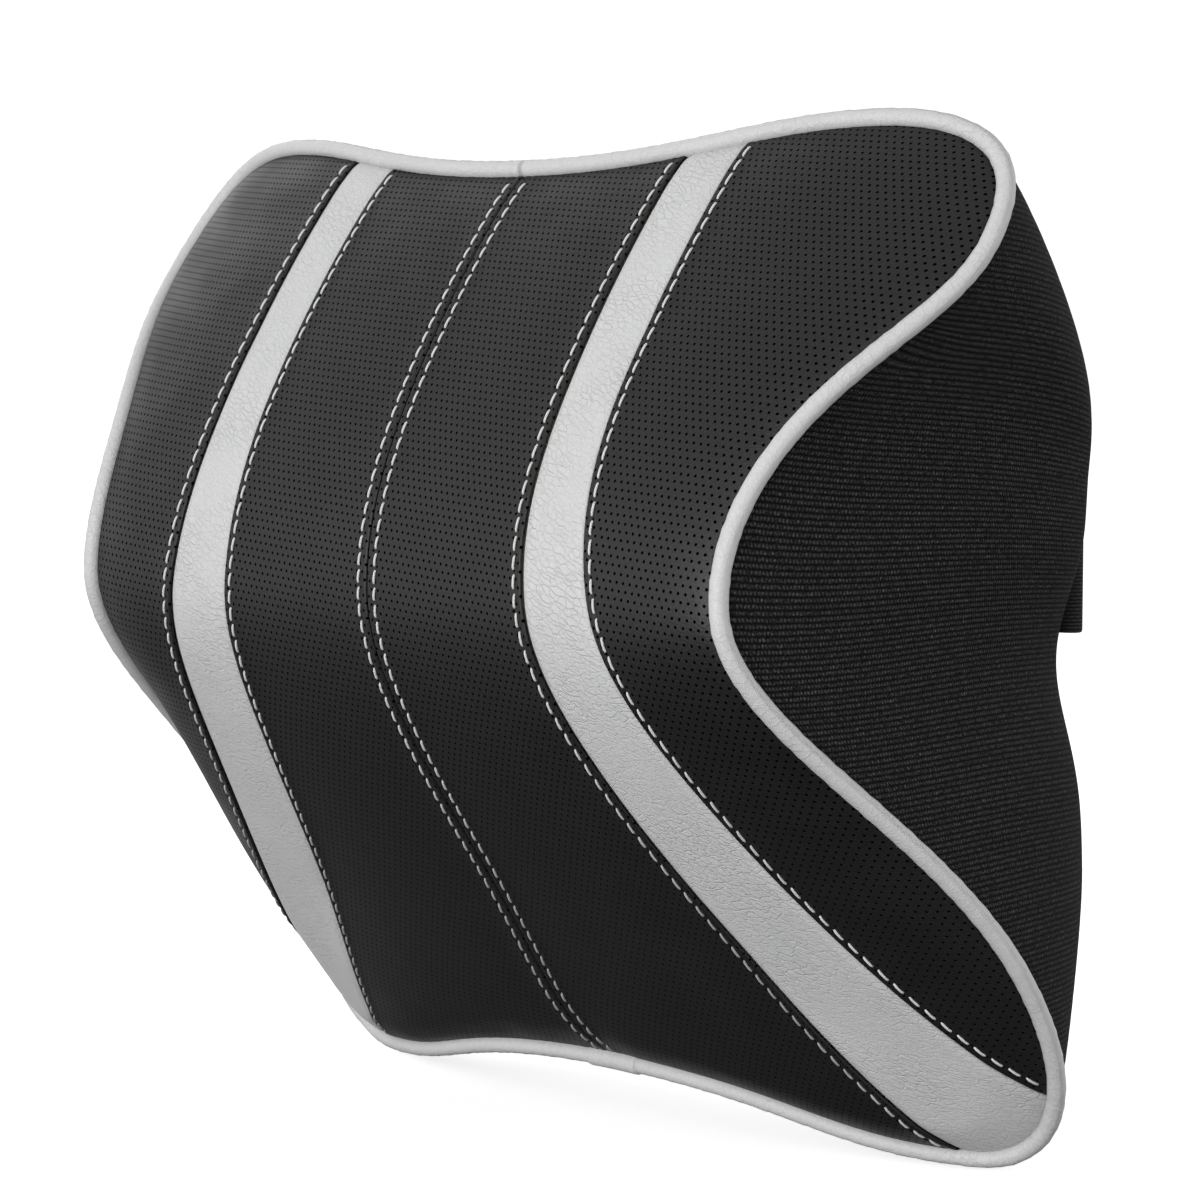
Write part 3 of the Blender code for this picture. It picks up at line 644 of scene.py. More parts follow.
def rim_edge(distance, z):
    """Height near the piping: the leather swells, more below the crest, and rolls to the welt."""
    most = mix(SWELL_LOW, SWELL_HIGH, smooth(-95.0, -25.0, z))
    swell = most * smooth(0.0, 14.0, distance) * (1.0 - smooth(18.0, 75.0, distance))
    return fold(distance, 6.0, 3.0) + swell


RIM_CLOTH = unroll(front_line(spread(0.0, LAST, 700)))


def face_heights(flat, edges):
    """Height of the cover over the plain face, from the seams and rim near each point."""
    cloth = unroll(flat)
    height = np.zeros(len(flat))
    for seam, row in edges:
        distance = reach_of(cloth, seam_cloth(seam, -134.0, 122.0, 300))
        height += tucked_edge(distance) if row is None else stitched_edge(distance, row)
    return height + rim_edge(reach_of(cloth, RIM_CLOTH), flat[:, 1])


def panel(name, net, edges, side, padding, mat):
    """One cover panel of leather on the face."""
    rows, columns = net.shape[:2]
    flat = net.reshape(-1, 2)
    height = face_heights(flat, edges)
    points = cover_points(flat, height)
    cloth = np.concatenate([unroll(flat), height[:, None]], 1)
    points[:, 0] *= side
    cloth[:, 0] *= side
    faces = grid_faces(rows, columns)
    if side < 0:
        faces = faces[:, ::-1]
    made = make_object(name + "_cover", padding.settle(points), faces, mat, cloth)
    with edited(made.data) as bm:
        bmesh.ops.remove_doubles(bm, verts=bm.verts, dist=1e-6)
    thicken(made, LEATHER)
    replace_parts(made, name)


def front_panels(padding, black, grey):
    """Both halves of the face: centre panel, stripe and outer panel."""
    gap, corner, step = SEAM_GAP, 1.75, 2.2
    tall, wide, narrow, outer = (graded(size, step) for size in (330.0, 56.0, 19.0, 60.0))

    def ends(seam, shift):
        return [rim_share(seam, shift, top) for top in (False, True)]

    def net(seam, shift, start, right, end, shares):
        left = seam_run(seam, shift, *start, tall)
        return coons(left, right, *(rim_run(a, b, shares) for a, b in zip(start, end)), shares, tall)

    def both(name, points, edges, mat):
        for word, side in SIDES:
            panel(name + "_" + word, points, edges, side, padding, mat)

    centre, inner, outer_ends = ends(seam_centre, 0.0), ends(seam_inner, -gap), ends(seam_outer, gap)
    stripe_in, stripe_out = ends(seam_inner, gap), ends(seam_outer, -gap)
    points = net(seam_centre, gap / 2, centre, seam_run(seam_inner, -gap, *inner, tall), inner, wide)
    edges = ((seam_centre, ROW_CENTRE), (seam_inner, ROW_STRIPE))
    both("front_panel_centre", points, edges, black)
    right = seam_run(seam_outer, -gap, *stripe_out, tall)
    points = net(seam_inner, gap, stripe_in, right, stripe_out, narrow)
    both("stripe", points, ((seam_inner, None), (seam_outer, None)), grey)
    left, right = seam_run(seam_outer, gap, *outer_ends, tall), rim_run(outer_ends[0], corner, tall)
    tip = np.repeat(front_line(outer_ends[0], RIM_IN), len(outer), axis=0)
    points = coons(left, right, tip, rim_run(outer_ends[1], corner, outer), outer, tall)
    both("front_panel_outer", points, ((seam_outer, ROW_STRIPE),), black)


def row_line(seam, offset):
    """A line on the cloth beside a seam, from rim to rim, on the right half."""
    line = seam_cloth(seam, -136.0, 124.0, 1400)
    line = line + inward(np.gradient(line, axis=0)) * offset
    flat = roll_up(line)
    rim = front_line(spread(0.0, LAST, 500), 2.6)
    ring = np.concatenate([rim, rim[::-1] * (-1.0, 1.0)])
    a, b = ring, np.roll(ring, -1, 0)
    inside = np.zeros(len(flat), bool)
    for (x0, z0), (x1, z1) in zip(a, b):
        crosses = (z0 > flat[:, 1]) != (z1 > flat[:, 1])
        with np.errstate(divide="ignore", invalid="ignore"):
            inside ^= crosses & (flat[:, 0] < (x1 - x0) * (flat[:, 1] - z0) / (z1 - z0) + x0)
    return line[inside]


def stitches(name, line, edges, pitch, padding, mat):
    """A row of thread on each half: each stitch rises from one needle hole and goes down the next."""
    steps = np.array([-0.5, -0.44, -0.3, 0.0, 0.3, 0.44, 0.5])
    arch = np.array([-0.35, 0.08, 0.24, 0.3, 0.24, 0.08, -0.35])
    thick = np.array([0.55, 0.9, 1.0, 1.0, 1.0, 0.9, 0.55]) * THREAD_R
    slant = 0.34
    run = lengths(line)
    parts, sides = [], []
    for _, side in SIDES:
        for number in range(int(run[-1] / pitch)):
            middle = (number + 0.5) * pitch
            wander = 0.1 * math.sin(number * 2.3) + 0.05 * math.sin(number * 5.1)
            cloth = along_path(middle + steps * (pitch - STITCH_GAP + wander), run, line)
            cloth[:, 0] += steps * slant * side
            parts.append(roll_up(cloth))
            sides.append(side)
    flat = np.concatenate(parts)
    points = cover_points(flat, face_heights(flat, edges) + np.tile(arch, len(parts)))
    points[:, 0] *= np.repeat(sides, len(steps))
    paths = padding.settle(points).reshape(len(parts), len(steps), 3)
    strands(name, paths, thick, mat)


def all_stitches(padding, mat):
    """The rows beside the middle seam and beside each stripe."""
    for word, seam, offset, pitch in (
        ("centre", seam_centre, ROW_CENTRE, PITCH_CENTRE),
        ("stripe_inner", seam_inner, -ROW_STRIPE, PITCH_STRIPE),
        ("stripe_outer", seam_outer, ROW_STRIPE, PITCH_STRIPE),
    ):
        edges = ((seam, abs(offset)),)
        stitches("stitches_" + word, row_line(seam, offset), edges, pitch, padding, mat)


def welt(name, path, run, radius, sides, mat, closed=False):
    """A round of leather over cord, finished along its length and round its girth."""
    verts, faces = tube(path, radius, sides, closed=closed)
    angle = np.tile(np.arange(sides) * 2 * math.pi / sides, len(path))
    cloth = np.stack([np.repeat(run, sides), angle * WELT_R, np.zeros(len(angle))], 1)
    return make_object(name, verts, faces, mat, cloth)


def piping(padding, mat):
    """The welt round the face, and the sleeve over its two ends beside the bottom centre."""
    steps = 330
    u, side = loop_values(steps)
    path = padding.settle(sided(cover_points(front_line(u), -PIPING_SUNK), side))
    run = lengths(path)
    radius = WELT_R * np.ones(len(path))
    radius += 0.07 * np.sin(run * 0.9) * np.sin(run * 0.231 + 1.0) + 0.05 * np.sin(run * 1.7 + 0.5)
    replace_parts(welt("piping_welt", path, run, radius, 14, mat, closed=True), "edge_piping")
    start, length = run[steps] - SLEEVE_FROM, SLEEVE_L
    middle = np.linspace(1.2, length - 1.8, 18)
    along = np.r_[0.0, 0.12, 0.3, 0.6, middle, length - 1.0, length - 0.4, length]
    places = [0.0, 0.12, 0.3, 1.0, length - 1.8, length - 0.6, length]
    thick = np.interp(along, places, [-0.3, 0.3, 0.42, 0.46, 0.4, 0.25, -0.3])
    sleeve = along_path(start + along, run, path)
    welt("piping_sleeve", sleeve, start + along, WELT_R + thick, 20, mat)


# ---- Knit sides and back


def back_ribs(x, y, z, lying=0.0):
    """Where each point of the knit lies along and across its ribs."""
    ribs = z + 1.2 * np.sin(0.045 * y) + 0.12 * smooth(-10.0, 50.0, z) * (y + 60.0) - 0.75 * lying * y
    return np.stack([np.abs(x) - y, ribs, np.zeros_like(x)], 1)


def knit_cover(padding, mat):
    """The knit skin from under the piping, round the sides and over the flat back."""
    u, side = loop_values(220)
    count = len(u)
    rings = [sided(side_points(u, turn), side) for turn in np.linspace(0.0, 1.0, 46) ** 1.15]
    rim = sided(flat_points(u), side)
    rings += [rim * (share, 1.0, share) for share in (1.0, 0.97, 0.92, 0.84, 0.72, 0.58, 0.42, 0.26, 0.1)]
    grid = np.stack(rings)
    outward = np.cross(np.roll(grid, -1, 1) - np.roll(grid, 1, 1), np.gradient(grid, axis=0))
    outward /= np.maximum(np.linalg.norm(outward, axis=2, keepdims=True), 1e-9)
    middle = grid[20].mean(0)
    if ((grid[20] - middle) * outward[20]).sum() < 0.0:
        outward = -outward
    from_rim = np.cumsum(np.linalg.norm(np.diff(grid, axis=0, prepend=grid[:1]), axis=2), axis=0)
    grid = grid + outward * fold(from_rim, *KNIT_FOLD)[..., None]
    verts = padding.settle(grid.reshape(-1, 3))
    faces = grid_faces(len(rings), count, closed=True).tolist()
    faces.append([(len(rings) - 1) * count + i for i in range(count)])
    x, y, z = verts.T
    facing = outward.reshape(-1, 3)[:, 2]
    lying = smooth(0.5, 0.9, np.abs(facing)) * np.sign(facing)
    made = make_object("knit_back_cover", verts, faces, mat, back_ribs(x, y, z, lying))
    with edited(made.data) as bm:
        bmesh.ops.recalc_face_normals(bm, faces=bm.faces)
        outer = max(bm.faces, key=lambda f: f.calc_center_median().y)
        if outer.normal.y < 0.0:
            bmesh.ops.reverse_faces(bm, faces=bm.faces)
    thicken(made, KNIT)
    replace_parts(made, "back_cover")
    return made


def care_label(padding, mat):
    """A blank satin label on the slope under the back."""
    shares = np.linspace(0.0, 1.0, 13)
    turns = np.linspace(*LABEL_DOWN, 13)
    u = mix(*LABEL_ACROSS, shares)
    grid = np.stack([side_points(u, turn) for turn in turns])
    outward = unit(np.cross(np.gradient(grid, axis=1), np.gradient(grid, axis=0)))
    outward *= np.sign(-outward[..., 2:3])
    lift = 0.75 + 0.35 * np.sin(shares * 2.6)[None, :] * (turns[:, None] > 0.4)
    grid = grid + outward * lift[..., None]
    verts = grid.reshape(-1, 3) * (-1.0, 1.0, 1.0)
    cloth = np.broadcast_arrays(shares[None, :] * 30.0, turns[:, None] * 90.0, 0.0)
    cloth = np.stack(cloth, -1).reshape(-1, 3)
    verts = padding.settle(verts)
    made = make_object("care_label_cloth", verts, grid_faces(13, 13), mat, cloth)
    thicken(made, LABEL, 1.0)
    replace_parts(made, "care_label")


# ---- Strap


def smooth_path(points, steps=8):
    """A curve through the points, in x and y."""
    p = np.array([points[0], *points, points[-1]], float)
    path = []
    for a, b, c, d in zip(p, p[1:], p[2:], p[3:]):
        t = (np.arange(steps) / steps)[:, None]
        bend, twist = 2 * a - 5 * b + 4 * c - d, 3 * b - a - 3 * c + d
        path.append(0.5 * (2 * b + (c - a) * t + bend * t**2 + twist * t**3))
    return np.concatenate([*path, p[-1:]])


def band(name, path, mat, body="cushion"):
    """Webbing that follows a path in x and y, with its width along z and rounded edges."""
    half, side = STRAP_T / 2, STRAP_W / 2
    top = [(w, half) for w in np.linspace(side - 0.7, -side + 0.7, 9)]
    edge = [(-side + 0.2, half * 0.8), (-side, half * 0.35)]
    edge += [(-side, -half * 0.35), (-side + 0.2, -half * 0.8)]
    ring = np.array(top + edge + [(-w, -h) for w, h in top + edge])
    across = -inward(np.gradient(path, axis=0))
    run = lengths(path)
    flat = path[:, None, :] + across[:, None, :] * ring[None, :, 1:2]
    z = np.broadcast_to(STRAP_Z + ring[:, 0], flat.shape[:2])
    verts = np.stack([flat[..., 0], flat[..., 1], z], -1).reshape(-1, 3)
    cloth = np.broadcast_arrays(run[:, None], ring[None, :, 0], ring[None, :, 1])
    cloth = np.stack(cloth, -1).reshape(-1, 3)
    made = make_object(name, verts, capped(len(path), len(ring)), mat, cloth, body)
    with edited(made.data) as bm:
        bmesh.ops.recalc_face_normals(bm, faces=bm.faces)
    return made


# Courses in x and y: the right-hand strap from under its patch to its free part; then, measured from the
# bar and from the strap's middle, the turn round the socket's bar, and the turn through the plug and back
# fmt: off
STRAP_ROOT = (
    (90.0, 1.4), (95.0, 1.3), (100.0, 1.3), (107.4, 1.5), (110.4, 3.0), (110.4, 5.4), (107.2, 7.2),
    (99.0, 9.1), (88.0, 10.5), (76.0, STRAP_Y),
)
SOCKET_TURN = (
    (-9.0, 0.0), (-2.0, 0.9), (3.4, 2.2), (4.1, 4.6), (3.2, 7.5), (-1.5, 8.3), (-7.0, 5.2),
    (-12.0, 2.1), (-20.0, 1.9),
)
PLUG_TURN = (
    (62.0, 0.0), (48.0, 0.0), (34.0, 0.0), (20.0, 0.0), (8.0, 0.0), (-3.0, 0.2), (-6.6, 1.8),
    (-7.4, 4.6), (-6.2, 7.5), (-2.4, 8.0), (2.0, 7.2), (7.0, 4.0), (12.0, 2.2), (20.0, 1.95),
    (30.0, 1.95), (40.0, 1.95), (50.0, 1.95),
)
# fmt: on


def straps(mat):
    """The two elastic halves."""

    def path(side, bar, turn):
        root = smooth_path([(side * x, y) for x, y in STRAP_ROOT])
        return np.concatenate([root, smooth_path([(bar + x, STRAP_Y + y) for x, y in turn])])

    left = band("strap_left_webbing", path(-1.0, MOUTH_X - FEMALE_L + 3.0, SOCKET_TURN), mat)
    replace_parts(left, "strap_left")
    right = band("strap_right_webbing", path(1.0, MOUTH_X + MALE_BASE + 0.6, PLUG_TURN), mat, body=None)
    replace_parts(right, "strap_right", "strap_tail")
    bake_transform(right)


def dashes(name, points, mat):
    """A row of thread along points, each dash bowed a little away from the back."""
    pitch, length, radius = 2.8, 2.1, 0.24
    points = np.asarray(points, float)
    run = lengths(points)
    bow = np.outer([-0.3, 0.1, 0.16, 0.1, -0.3], (0.0, 1.0, 0.0))
    middles = (np.arange(int(run[-1] / pitch)) + 0.5) * pitch
    paths = [along_path(at + np.linspace(-0.5, 0.5, 5) * length, run, points) + bow for at in middles]
    strands(name, paths, radius, mat)


def strap_sewing(mat):
    """Box stitches that hold the strap's ends to the back and to themselves."""
    low, high = STRAP_Z - 10.5, STRAP_Z + 10.5
    box = [(90.6, low), (96.0, low), (96.0, high), (90.6, high), (90.6, low)]
    for word, side in SIDES[::-1]:
        dashes("anchor_stitches_" + word, [(side * x, SEWN_Y, z) for x, z in box], mat)


# ---- Zip


def zip_teeth(word, side, mat):
    """One coil of the zip: a row of bent wire teeth that reach the middle."""
    pitch, wire = 1.32, 0.4
    bend = ((0.0, -1.95, 0.12), (0.0, -1.25, 0.3), (0.0, -1.1, 1.0))
    bend += ((0.1, -1.15, 2.2), (0.3, -1.6, 2.9), (0.4, -2.4, 2.9))
    starts = -ZIP_HALF + (np.arange(int(2 * ZIP_HALF / pitch)) + (0.25 if side > 0 else 0.75)) * pitch
    paths = [[(x + dx, y, ZIP_Z + side * dz) for dx, y, dz in bend] for x in starts]
    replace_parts(strands("zip_teeth_" + word, paths, wire, mat), "zip_coil_" + word)


def zip_dressing(cover, teeth_mat, thread_mat):
    """Teeth, the opening in the back, and the rows of thread beside it."""
    zip_teeth("upper", 1.0, teeth_mat)
    zip_teeth("lower", -1.0, teeth_mat)
    mesh = bpy.data.meshes.new("zip_opening")
    size = Vector((2 * ZIP_HALF + 4.0, 7.0, 2 * SLOT_HALF)) * MM
    with edited(mesh) as bm:
        bmesh.ops.create_cube(bm, size=1.0)
        for vert in bm.verts:
            vert.co = Vector(a * b for a, b in zip(vert.co, size)) + Vector((0.0, -1.0, ZIP_Z)) * MM
    cutter = link(bpy.data.objects.new("zip_opening", mesh))
    cutter.hide_render = True
    modify(cover, "BOOLEAN", operation="DIFFERENCE", solver="EXACT", object=cutter)
    bpy.context.view_layer.update()
    evaluated = cover.evaluated_get(bpy.context.evaluated_depsgraph_get())
    final = bpy.data.meshes.new_from_object(evaluated)
    final.set_sharp_from_angle(angle=math.radians(40.0))
    held = final.attributes["cloth"].data
    cloth = np.zeros(3 * len(held))
    held.foreach_get("vector", cloth)
    cloth = cloth.reshape(-1, 3)
    x, y, z = (coordinates(final) / MM).T
    cut = ~cloth.any(1)
    cloth[cut] = back_ribs(x, y, z)[cut]
    held.foreach_set("vector", cloth.ravel())
    cover.modifiers.clear()
    cover.data = final
    bpy.data.objects.remove(cutter)
    x, gap = ZIP_HALF + 4.5, SLOT_HALF + 2.4
    ring = [(-x, -gap), (x, -gap), (x, gap), (-x, gap), (-x, -gap)]
    dashes("zip_stitches", [(px, 0.1, ZIP_Z + pz) for px, pz in ring], thread_mat)


# ---- Moulded parts and patches


def moulded(node, width, mat, slot, body):
    """A copy of a moulded or cast node with its sharp edges rounded, standing for the node."""
    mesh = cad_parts[node].data.copy()
    mesh.name = node + "_rounded"
    with edited(mesh) as bm:
        bmesh.ops.remove_doubles(bm, verts=bm.verts, dist=1e-6)
        bmesh.ops.dissolve_limit(bm, angle_limit=math.radians(1.0), verts=bm.verts, edges=bm.edges)
    mesh.materials.clear()
    mesh.materials.append(mat)
    made = smoothed(node + "_rounded", mesh)
    edges = modify(made, "BEVEL", width=width * MM, segments=3, limit_method="ANGLE", harden_normals=True)
    edges.angle_limit = math.radians(35.0)
    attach(made, body)
    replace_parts(made, node)


def patch(name, x, y, z, bulge, thickness, mat, ripple=0.0):
    """A piece of cloth over x and z, lying at y, with rounded corners and a soft middle."""
    across = np.linspace(-1.0, 1.0, max(int((x[1] - x[0]) / 1.2), 9))
    along = np.linspace(-1.0, 1.0, max(int((z[1] - z[0]) / 1.2), 9))
    p, q = np.meshgrid(across, along)
    corner = 1.0 - 0.9 * np.abs(p) ** 14 * np.abs(q) ** 14 / max(x[1] - x[0], z[1] - z[0])
    px = (x[0] + x[1]) / 2 + p * corner * (x[1] - x[0]) / 2
    pz = (z[0] + z[1]) / 2 + q * corner * (z[1] - z[0]) / 2
    rise = bulge * (1.0 - p**8) * (1.0 - q**8) + ripple * np.sin(px * 0.19 + 0.6) * np.sin(px * 0.047)
    verts = np.stack([px, y + rise, pz], -1).reshape(-1, 3)
    cloth = np.stack([px, pz - STRAP_Z, rise], -1).reshape(-1, 3)
    made = make_object(name, verts, grid_faces(*p.shape)[:, ::-1], mat, cloth)
    thicken(made, thickness, 0.0)
    return made


def fittings(plastic, metal, web, tape):
    """The buckle, adjuster and zip hardware with rounded edges, and the cloth patches."""
    moulding, casting = (plastic, "black_acetal"), (metal, "blackened_zinc")
    for node, width, finish, body in (
        ("buckle_female", 0.55, moulding, "cushion"),
        ("buckle_male", 0.5, moulding, "plug"),
        ("strap_adjuster", 0.5, moulding, "adjuster"),
        ("zip_slider", 0.3, casting, "slider"),
        ("zip_pull", 0.25, casting, "pull"),
        ("zip_stop_closed", 0.25, casting, "cushion"),
        ("zip_stop_open", 0.25, casting, "cushion"),
    ):
        moulded(node, width, *finish, body)
    for word, side in SIDES[::-1]:
        node = "strap_anchor_" + word
        x = sorted((side * 89.0, side * 97.5))
        made = patch(node + "_cloth", x, 2.8, (-6.0, 24.0), 0.4, 0.8, web)
        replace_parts(made, node)
    for word, z in (("upper", (-58.9, -48.0)), ("lower", (-76.0, -65.0))):
        node = "zip_tape_" + word
        made = patch(node + "_cloth", (-90.0, 90.0), -2.2, z, 0.0, 0.6, tape, 0.12)
        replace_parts(made, node)
    patch("zip_lining", (-93.0, 93.0), -5.3, (-77.0, -47.0), 0.0, 0.4, tape, 0.2)


# ---- Materials


def add(tree, kind, inputs, out=0, **settings):
    """A node with its settings, as one of its outputs; an input is a number or another's output."""
    made = tree.nodes.new("ShaderNode" + kind)
    for key, value in settings.items():
        setattr(made, key, value)
    for key, value in inputs.items():
        if isinstance(value, Wire):
            tree.links.new(value.socket, made.inputs[key])
        else:
            made.inputs[key].default_value = value
    return Wire(tree, made.outputs[out])


class Wire:
    """A node's output; arithmetic on it adds the nodes that do it."""

    def __init__(self, tree, socket):
        self.tree, self.socket = tree, socket

    def maths(self, operation, *others, **settings):
        inputs = dict(enumerate((self, *others)))
        return add(self.tree, "Math", inputs, operation=operation, **settings)

    def vector(self, operation, other):
        return add(self.tree, "VectorMath", {0: self, 1: other}, operation=operation)

    def __add__(self, other):
        return self.maths("ADD", other)

    def __sub__(self, other):
        return self.maths("SUBTRACT", other)

    def __mul__(self, other):
        return self.maths("MULTIPLY", other)

    def __truediv__(self, other):
        return self.maths("DIVIDE", other)

    def __abs__(self):
        return self.maths("ABSOLUTE")

    def axes(self):
        split = add(self.tree, "SeparateXYZ", {0: self}).socket.node
        return [Wire(self.tree, socket) for socket in split.outputs]


class Finish:
    """A material with one Principled shader, whose inputs are constants or node outputs."""

    def __init__(self, name, roughness, specular, **constants):
        self.material = bpy.data.materials.new(name)
        self.material.use_nodes = True
        self.tree = self.material.node_tree
        self.inputs = self.tree.nodes["Principled BSDF"].inputs
        self.inputs["Roughness"].default_value = roughness
        self.inputs["Specular IOR Level"].default_value = specular
        for key, value in constants.items():
            self.inputs[key.replace("_", " ")].default_value = value

    def feed(self, key, wire):
        self.tree.links.new(wire.socket, self.inputs[key])

    def on_cloth(self):
        return add(self.tree, "Attribute", {}, "Vector", attribute_name="cloth", attribute_type="GEOMETRY")

    def on_part(self):
        """Position on the part in millimetres."""
        return add(self.tree, "TexCoord", {}, "Object").vector("MULTIPLY", (1000.0,) * 3)

    def twist(self, scale):
        """The turns of a thread."""
        inputs = {"Vector": self.on_part(), "Scale": scale, "Distortion": 0.6}
        return add(self.tree, "TexWave", inputs, 1, bands_direction="DIAGONAL")

    def paint(self, share, first, last, **settings):
        self.feed("Base Color", tint(share, first, last, **settings))

    def done(self, height, depth, strength):
        """The material, raised by the height, at a depth in millimetres for a height of 1."""
        inputs = {"Height": height, "Distance": depth * MM, "Strength": strength}
        self.feed("Normal", add(self.tree, "Bump", inputs))
        return self.material


def ease(value, low, high, first=0.0, last=1.0):
    inputs = {"Value": value, "From Min": low, "From Max": high, "To Min": first, "To Max": last}
    return add(value.tree, "MapRange", inputs, interpolation_type="SMOOTHSTEP")


def noise(at, scale, detail, roughness=0.5):
    inputs = {"Vector": at, "Scale": scale, "Detail": detail, "Roughness": roughness}
    return add(at.tree, "TexNoise", inputs)


def tint(share, first, last, **settings):
    """A colour between two, each of them a constant or a node's output."""
    first, last = (end if isinstance(end, Wire) else (*end, 1.0) for end in (first, last))
    tree = share.tree if isinstance(share, Wire) else first.tree
    return add(tree, "Mix", {0: share, 6: first, 7: last}, 2, data_type="RGBA", **settings)


def rounds(value):
    """A round of height 1 over each unit of the value."""
    return abs((value * math.pi).maths("SINE"))


def staggered(along, across):
    """Along, shifted by half a unit in every other whole unit of across."""
    return along + across.maths("FLOOR").maths("FLOORED_MODULO", 2.0) * 0.5


def stirred(at, scale, detail, amount):
    """The place, moved about by soft noise."""
    inputs = {"Vector": at, "Scale": scale, "Detail": detail}
    return at.vector("ADD", add(at.tree, "TexNoise", inputs, "Color").vector("MULTIPLY", amount))


def cell_edges(at, scale, randomness):
    """Distance from the edges of irregular cells."""
    inputs = {"Vector": at, "Scale": scale, "Randomness": randomness}
    return add(at.tree, "TexVoronoi", inputs, "Distance", feature="DISTANCE_TO_EDGE")


def leather_grain(at):
    """Fine pebbled grain with soft creases, as a height about 0 to 1."""
    pebbles = ease(cell_edges(stirred(at, 0.5, 2.0, (1.2,) * 3), 1.05, 0.95), 0.0, 0.28)
    return noise(at, 3.2, 3.0).maths("MULTIPLY_ADD", 0.35, pebbles * 0.65)


def perforations(at, place):
    """1 in each punched hole of a staggered lattice, 0 between them; the holes are drawn smaller low down,
    so their painted shade shows less where the lower panels get less light.
    """
    across, along, hole, blur = 2.0, 1.84, 0.34, 0.05
    x, y, _ = add(at.tree, "VectorRotate", {"Vector": at, "Angle": 0.09}).axes()
    row = y / along
    dx = (staggered(x / across, row).maths("FRACT") - 0.5) * across
    dy = (row.maths("FRACT") - 0.5) * along
    # Smaller holes low down: less painted shade where the lower panels get less light.
    hole_scale = ease(place.axes()[2], -75.0, -5.0, 0.78, 1.0)
    reach = (dx * dx + dy * dy).maths("SQRT") / hole_scale
    return ease(reach, hole - blur, hole + blur, 1.0, 0.0)


def black_leather():
    finish = Finish("black leatherette", 0.5, 0.35)
    at = finish.on_cloth()
    holes, grain = perforations(at, finish.on_part()), leather_grain(at)
    plain = tint(noise(at, 0.035, 3.0), (0.0050, 0.0050, 0.0052), (0.0074, 0.0074, 0.0077))
    relief_tint = tint(grain * 0.5, (0.0, 0.0, 0.0), (0.010, 0.010, 0.0102))
    # The holes are painted near black, with Metallic 1 to take away their reflection: painted shade inside
    # each hole.
    finish.paint(holes, tint(0.6, plain, relief_tint, blend_type="ADD"), (0.0002, 0.0002, 0.0002))
    finish.feed("Metallic", holes)
    rough = ease(noise(at, 0.06, 2.0), 0.3, 0.7, 0.44, 0.52)
    finish.feed("Roughness", holes.maths("MULTIPLY_ADD", 0.6, rough, use_clamp=True))
    return finish.done(grain * 0.1 - holes, 0.45, 1.0)


def creases(at, wide, tall):
    """1 along fine crease lines round cells of that size, stronger in some patches than others."""
    moved = stirred(at, 0.3, 3.0, (1.6, 1.6, 0.0))
    turned = add(at.tree, "VectorRotate", {"Vector": moved, "Angle": 0.45})
    cells = cell_edges(turned.vector("MULTIPLY", (1.0 / wide, 1.0 / tall, 0.0)), 1.0, 1.0)
    return ease(cells, 0.0, 0.1, 1.0, 0.0) * ease(noise(at, 0.04, 2.0), 0.3, 0.7, 0.35, 1.0)


def grey_leather(name, wide, tall, depth):
    finish = Finish(name, 0.5, 0.4)
    at = finish.on_cloth()
    grain, lines, cloudy = leather_grain(at), creases(at, wide, tall), noise(at, 0.05, 3.0)
    base = tint(cloudy, (0.50, 0.50, 0.505), (0.545, 0.545, 0.55))
    # The colour is a little darker in the grain's hollows, and darker along the crease lines as painted
    # shade in the creases.
    relief_tint = tint(ease(grain, 0.05, 0.5, 0.5, 1.0) - lines * 0.22, (0.8,) * 3, (1.0,) * 3)
    finish.paint(1.0, base, relief_tint, blend_type="MULTIPLY")
    finish.feed("Roughness", ease(cloudy, 0.3, 0.7, 0.44, 0.56))
    return finish.done(grain * 0.4 - lines, depth, 0.9)


def white_thread():
    """Thread painted darker below the crest, except at the right-hand edge: painted shade where the lower
    rows face away from the light.
    """
    finish = Finish("white thread", 0.6, 0.35, Sheen_Weight=0.2)
    x, _, z = finish.on_part().axes()
    # Painted shade: the thread's colour is dimmed to half towards the bottom of the face, but not near the
    # right-hand edge.
    painted_shade_factor = ease(z, -85.0, -10.0, 0.5, 1.0).maths("MAXIMUM", ease(x, 65.0, 110.0))
    twist = finish.twist(0.75)
    finish.paint(twist.maths("MULTIPLY_ADD", 0.3, 0.7) * painted_shade_factor, (0.0, 0.0, 0.0), (0.72, 0.72, 0.71))
    return finish.done(twist, 0.12, 0.7)


def black_thread():
    finish = Finish("black thread", 0.65, 0.3)
    twist = finish.twist(0.9)
    finish.paint(twist, (0.012, 0.012, 0.013), (0.035, 0.035, 0.037))
    return finish.done(twist, 0.1, 0.7)


def knit():
    """Ribbed knit: level ribs round the sides and across the back, with a stagger of small stitches."""
    rib_pitch, stitch_pitch = 1.27, 0.8
    finish = Finish("black knit", 0.85, 0.12)
    x, y, _ = finish.on_cloth().axes()
    ribs = y / rib_pitch
    height = rounds(ribs) * rounds(staggered(x / stitch_pitch, ribs)).maths("MULTIPLY_ADD", 0.72, 0.28)
    # The colour follows the rib height: painted highlight on the rib tops and painted shade between the
    # ribs, varied at random, with bright specks on the rib tops as painted glints.
    fluff = ease(noise(finish.on_part(), 1.5, 2.0, 0.6), 0.3, 0.7, 0.15, 1.5)
    fibre_glints = ease(noise(finish.on_part(), 1.9, 1.0), 0.58, 0.72, 0.0, 1.6)
    shade = fibre_glints.maths("MULTIPLY_ADD", height, height.maths("POWER", 1.5) * fluff)
    finish.paint(shade, (0.0012, 0.0012, 0.0013), (0.044, 0.044, 0.045), clamp_factor=False)
    return finish.done(height, 0.5, 1.0)


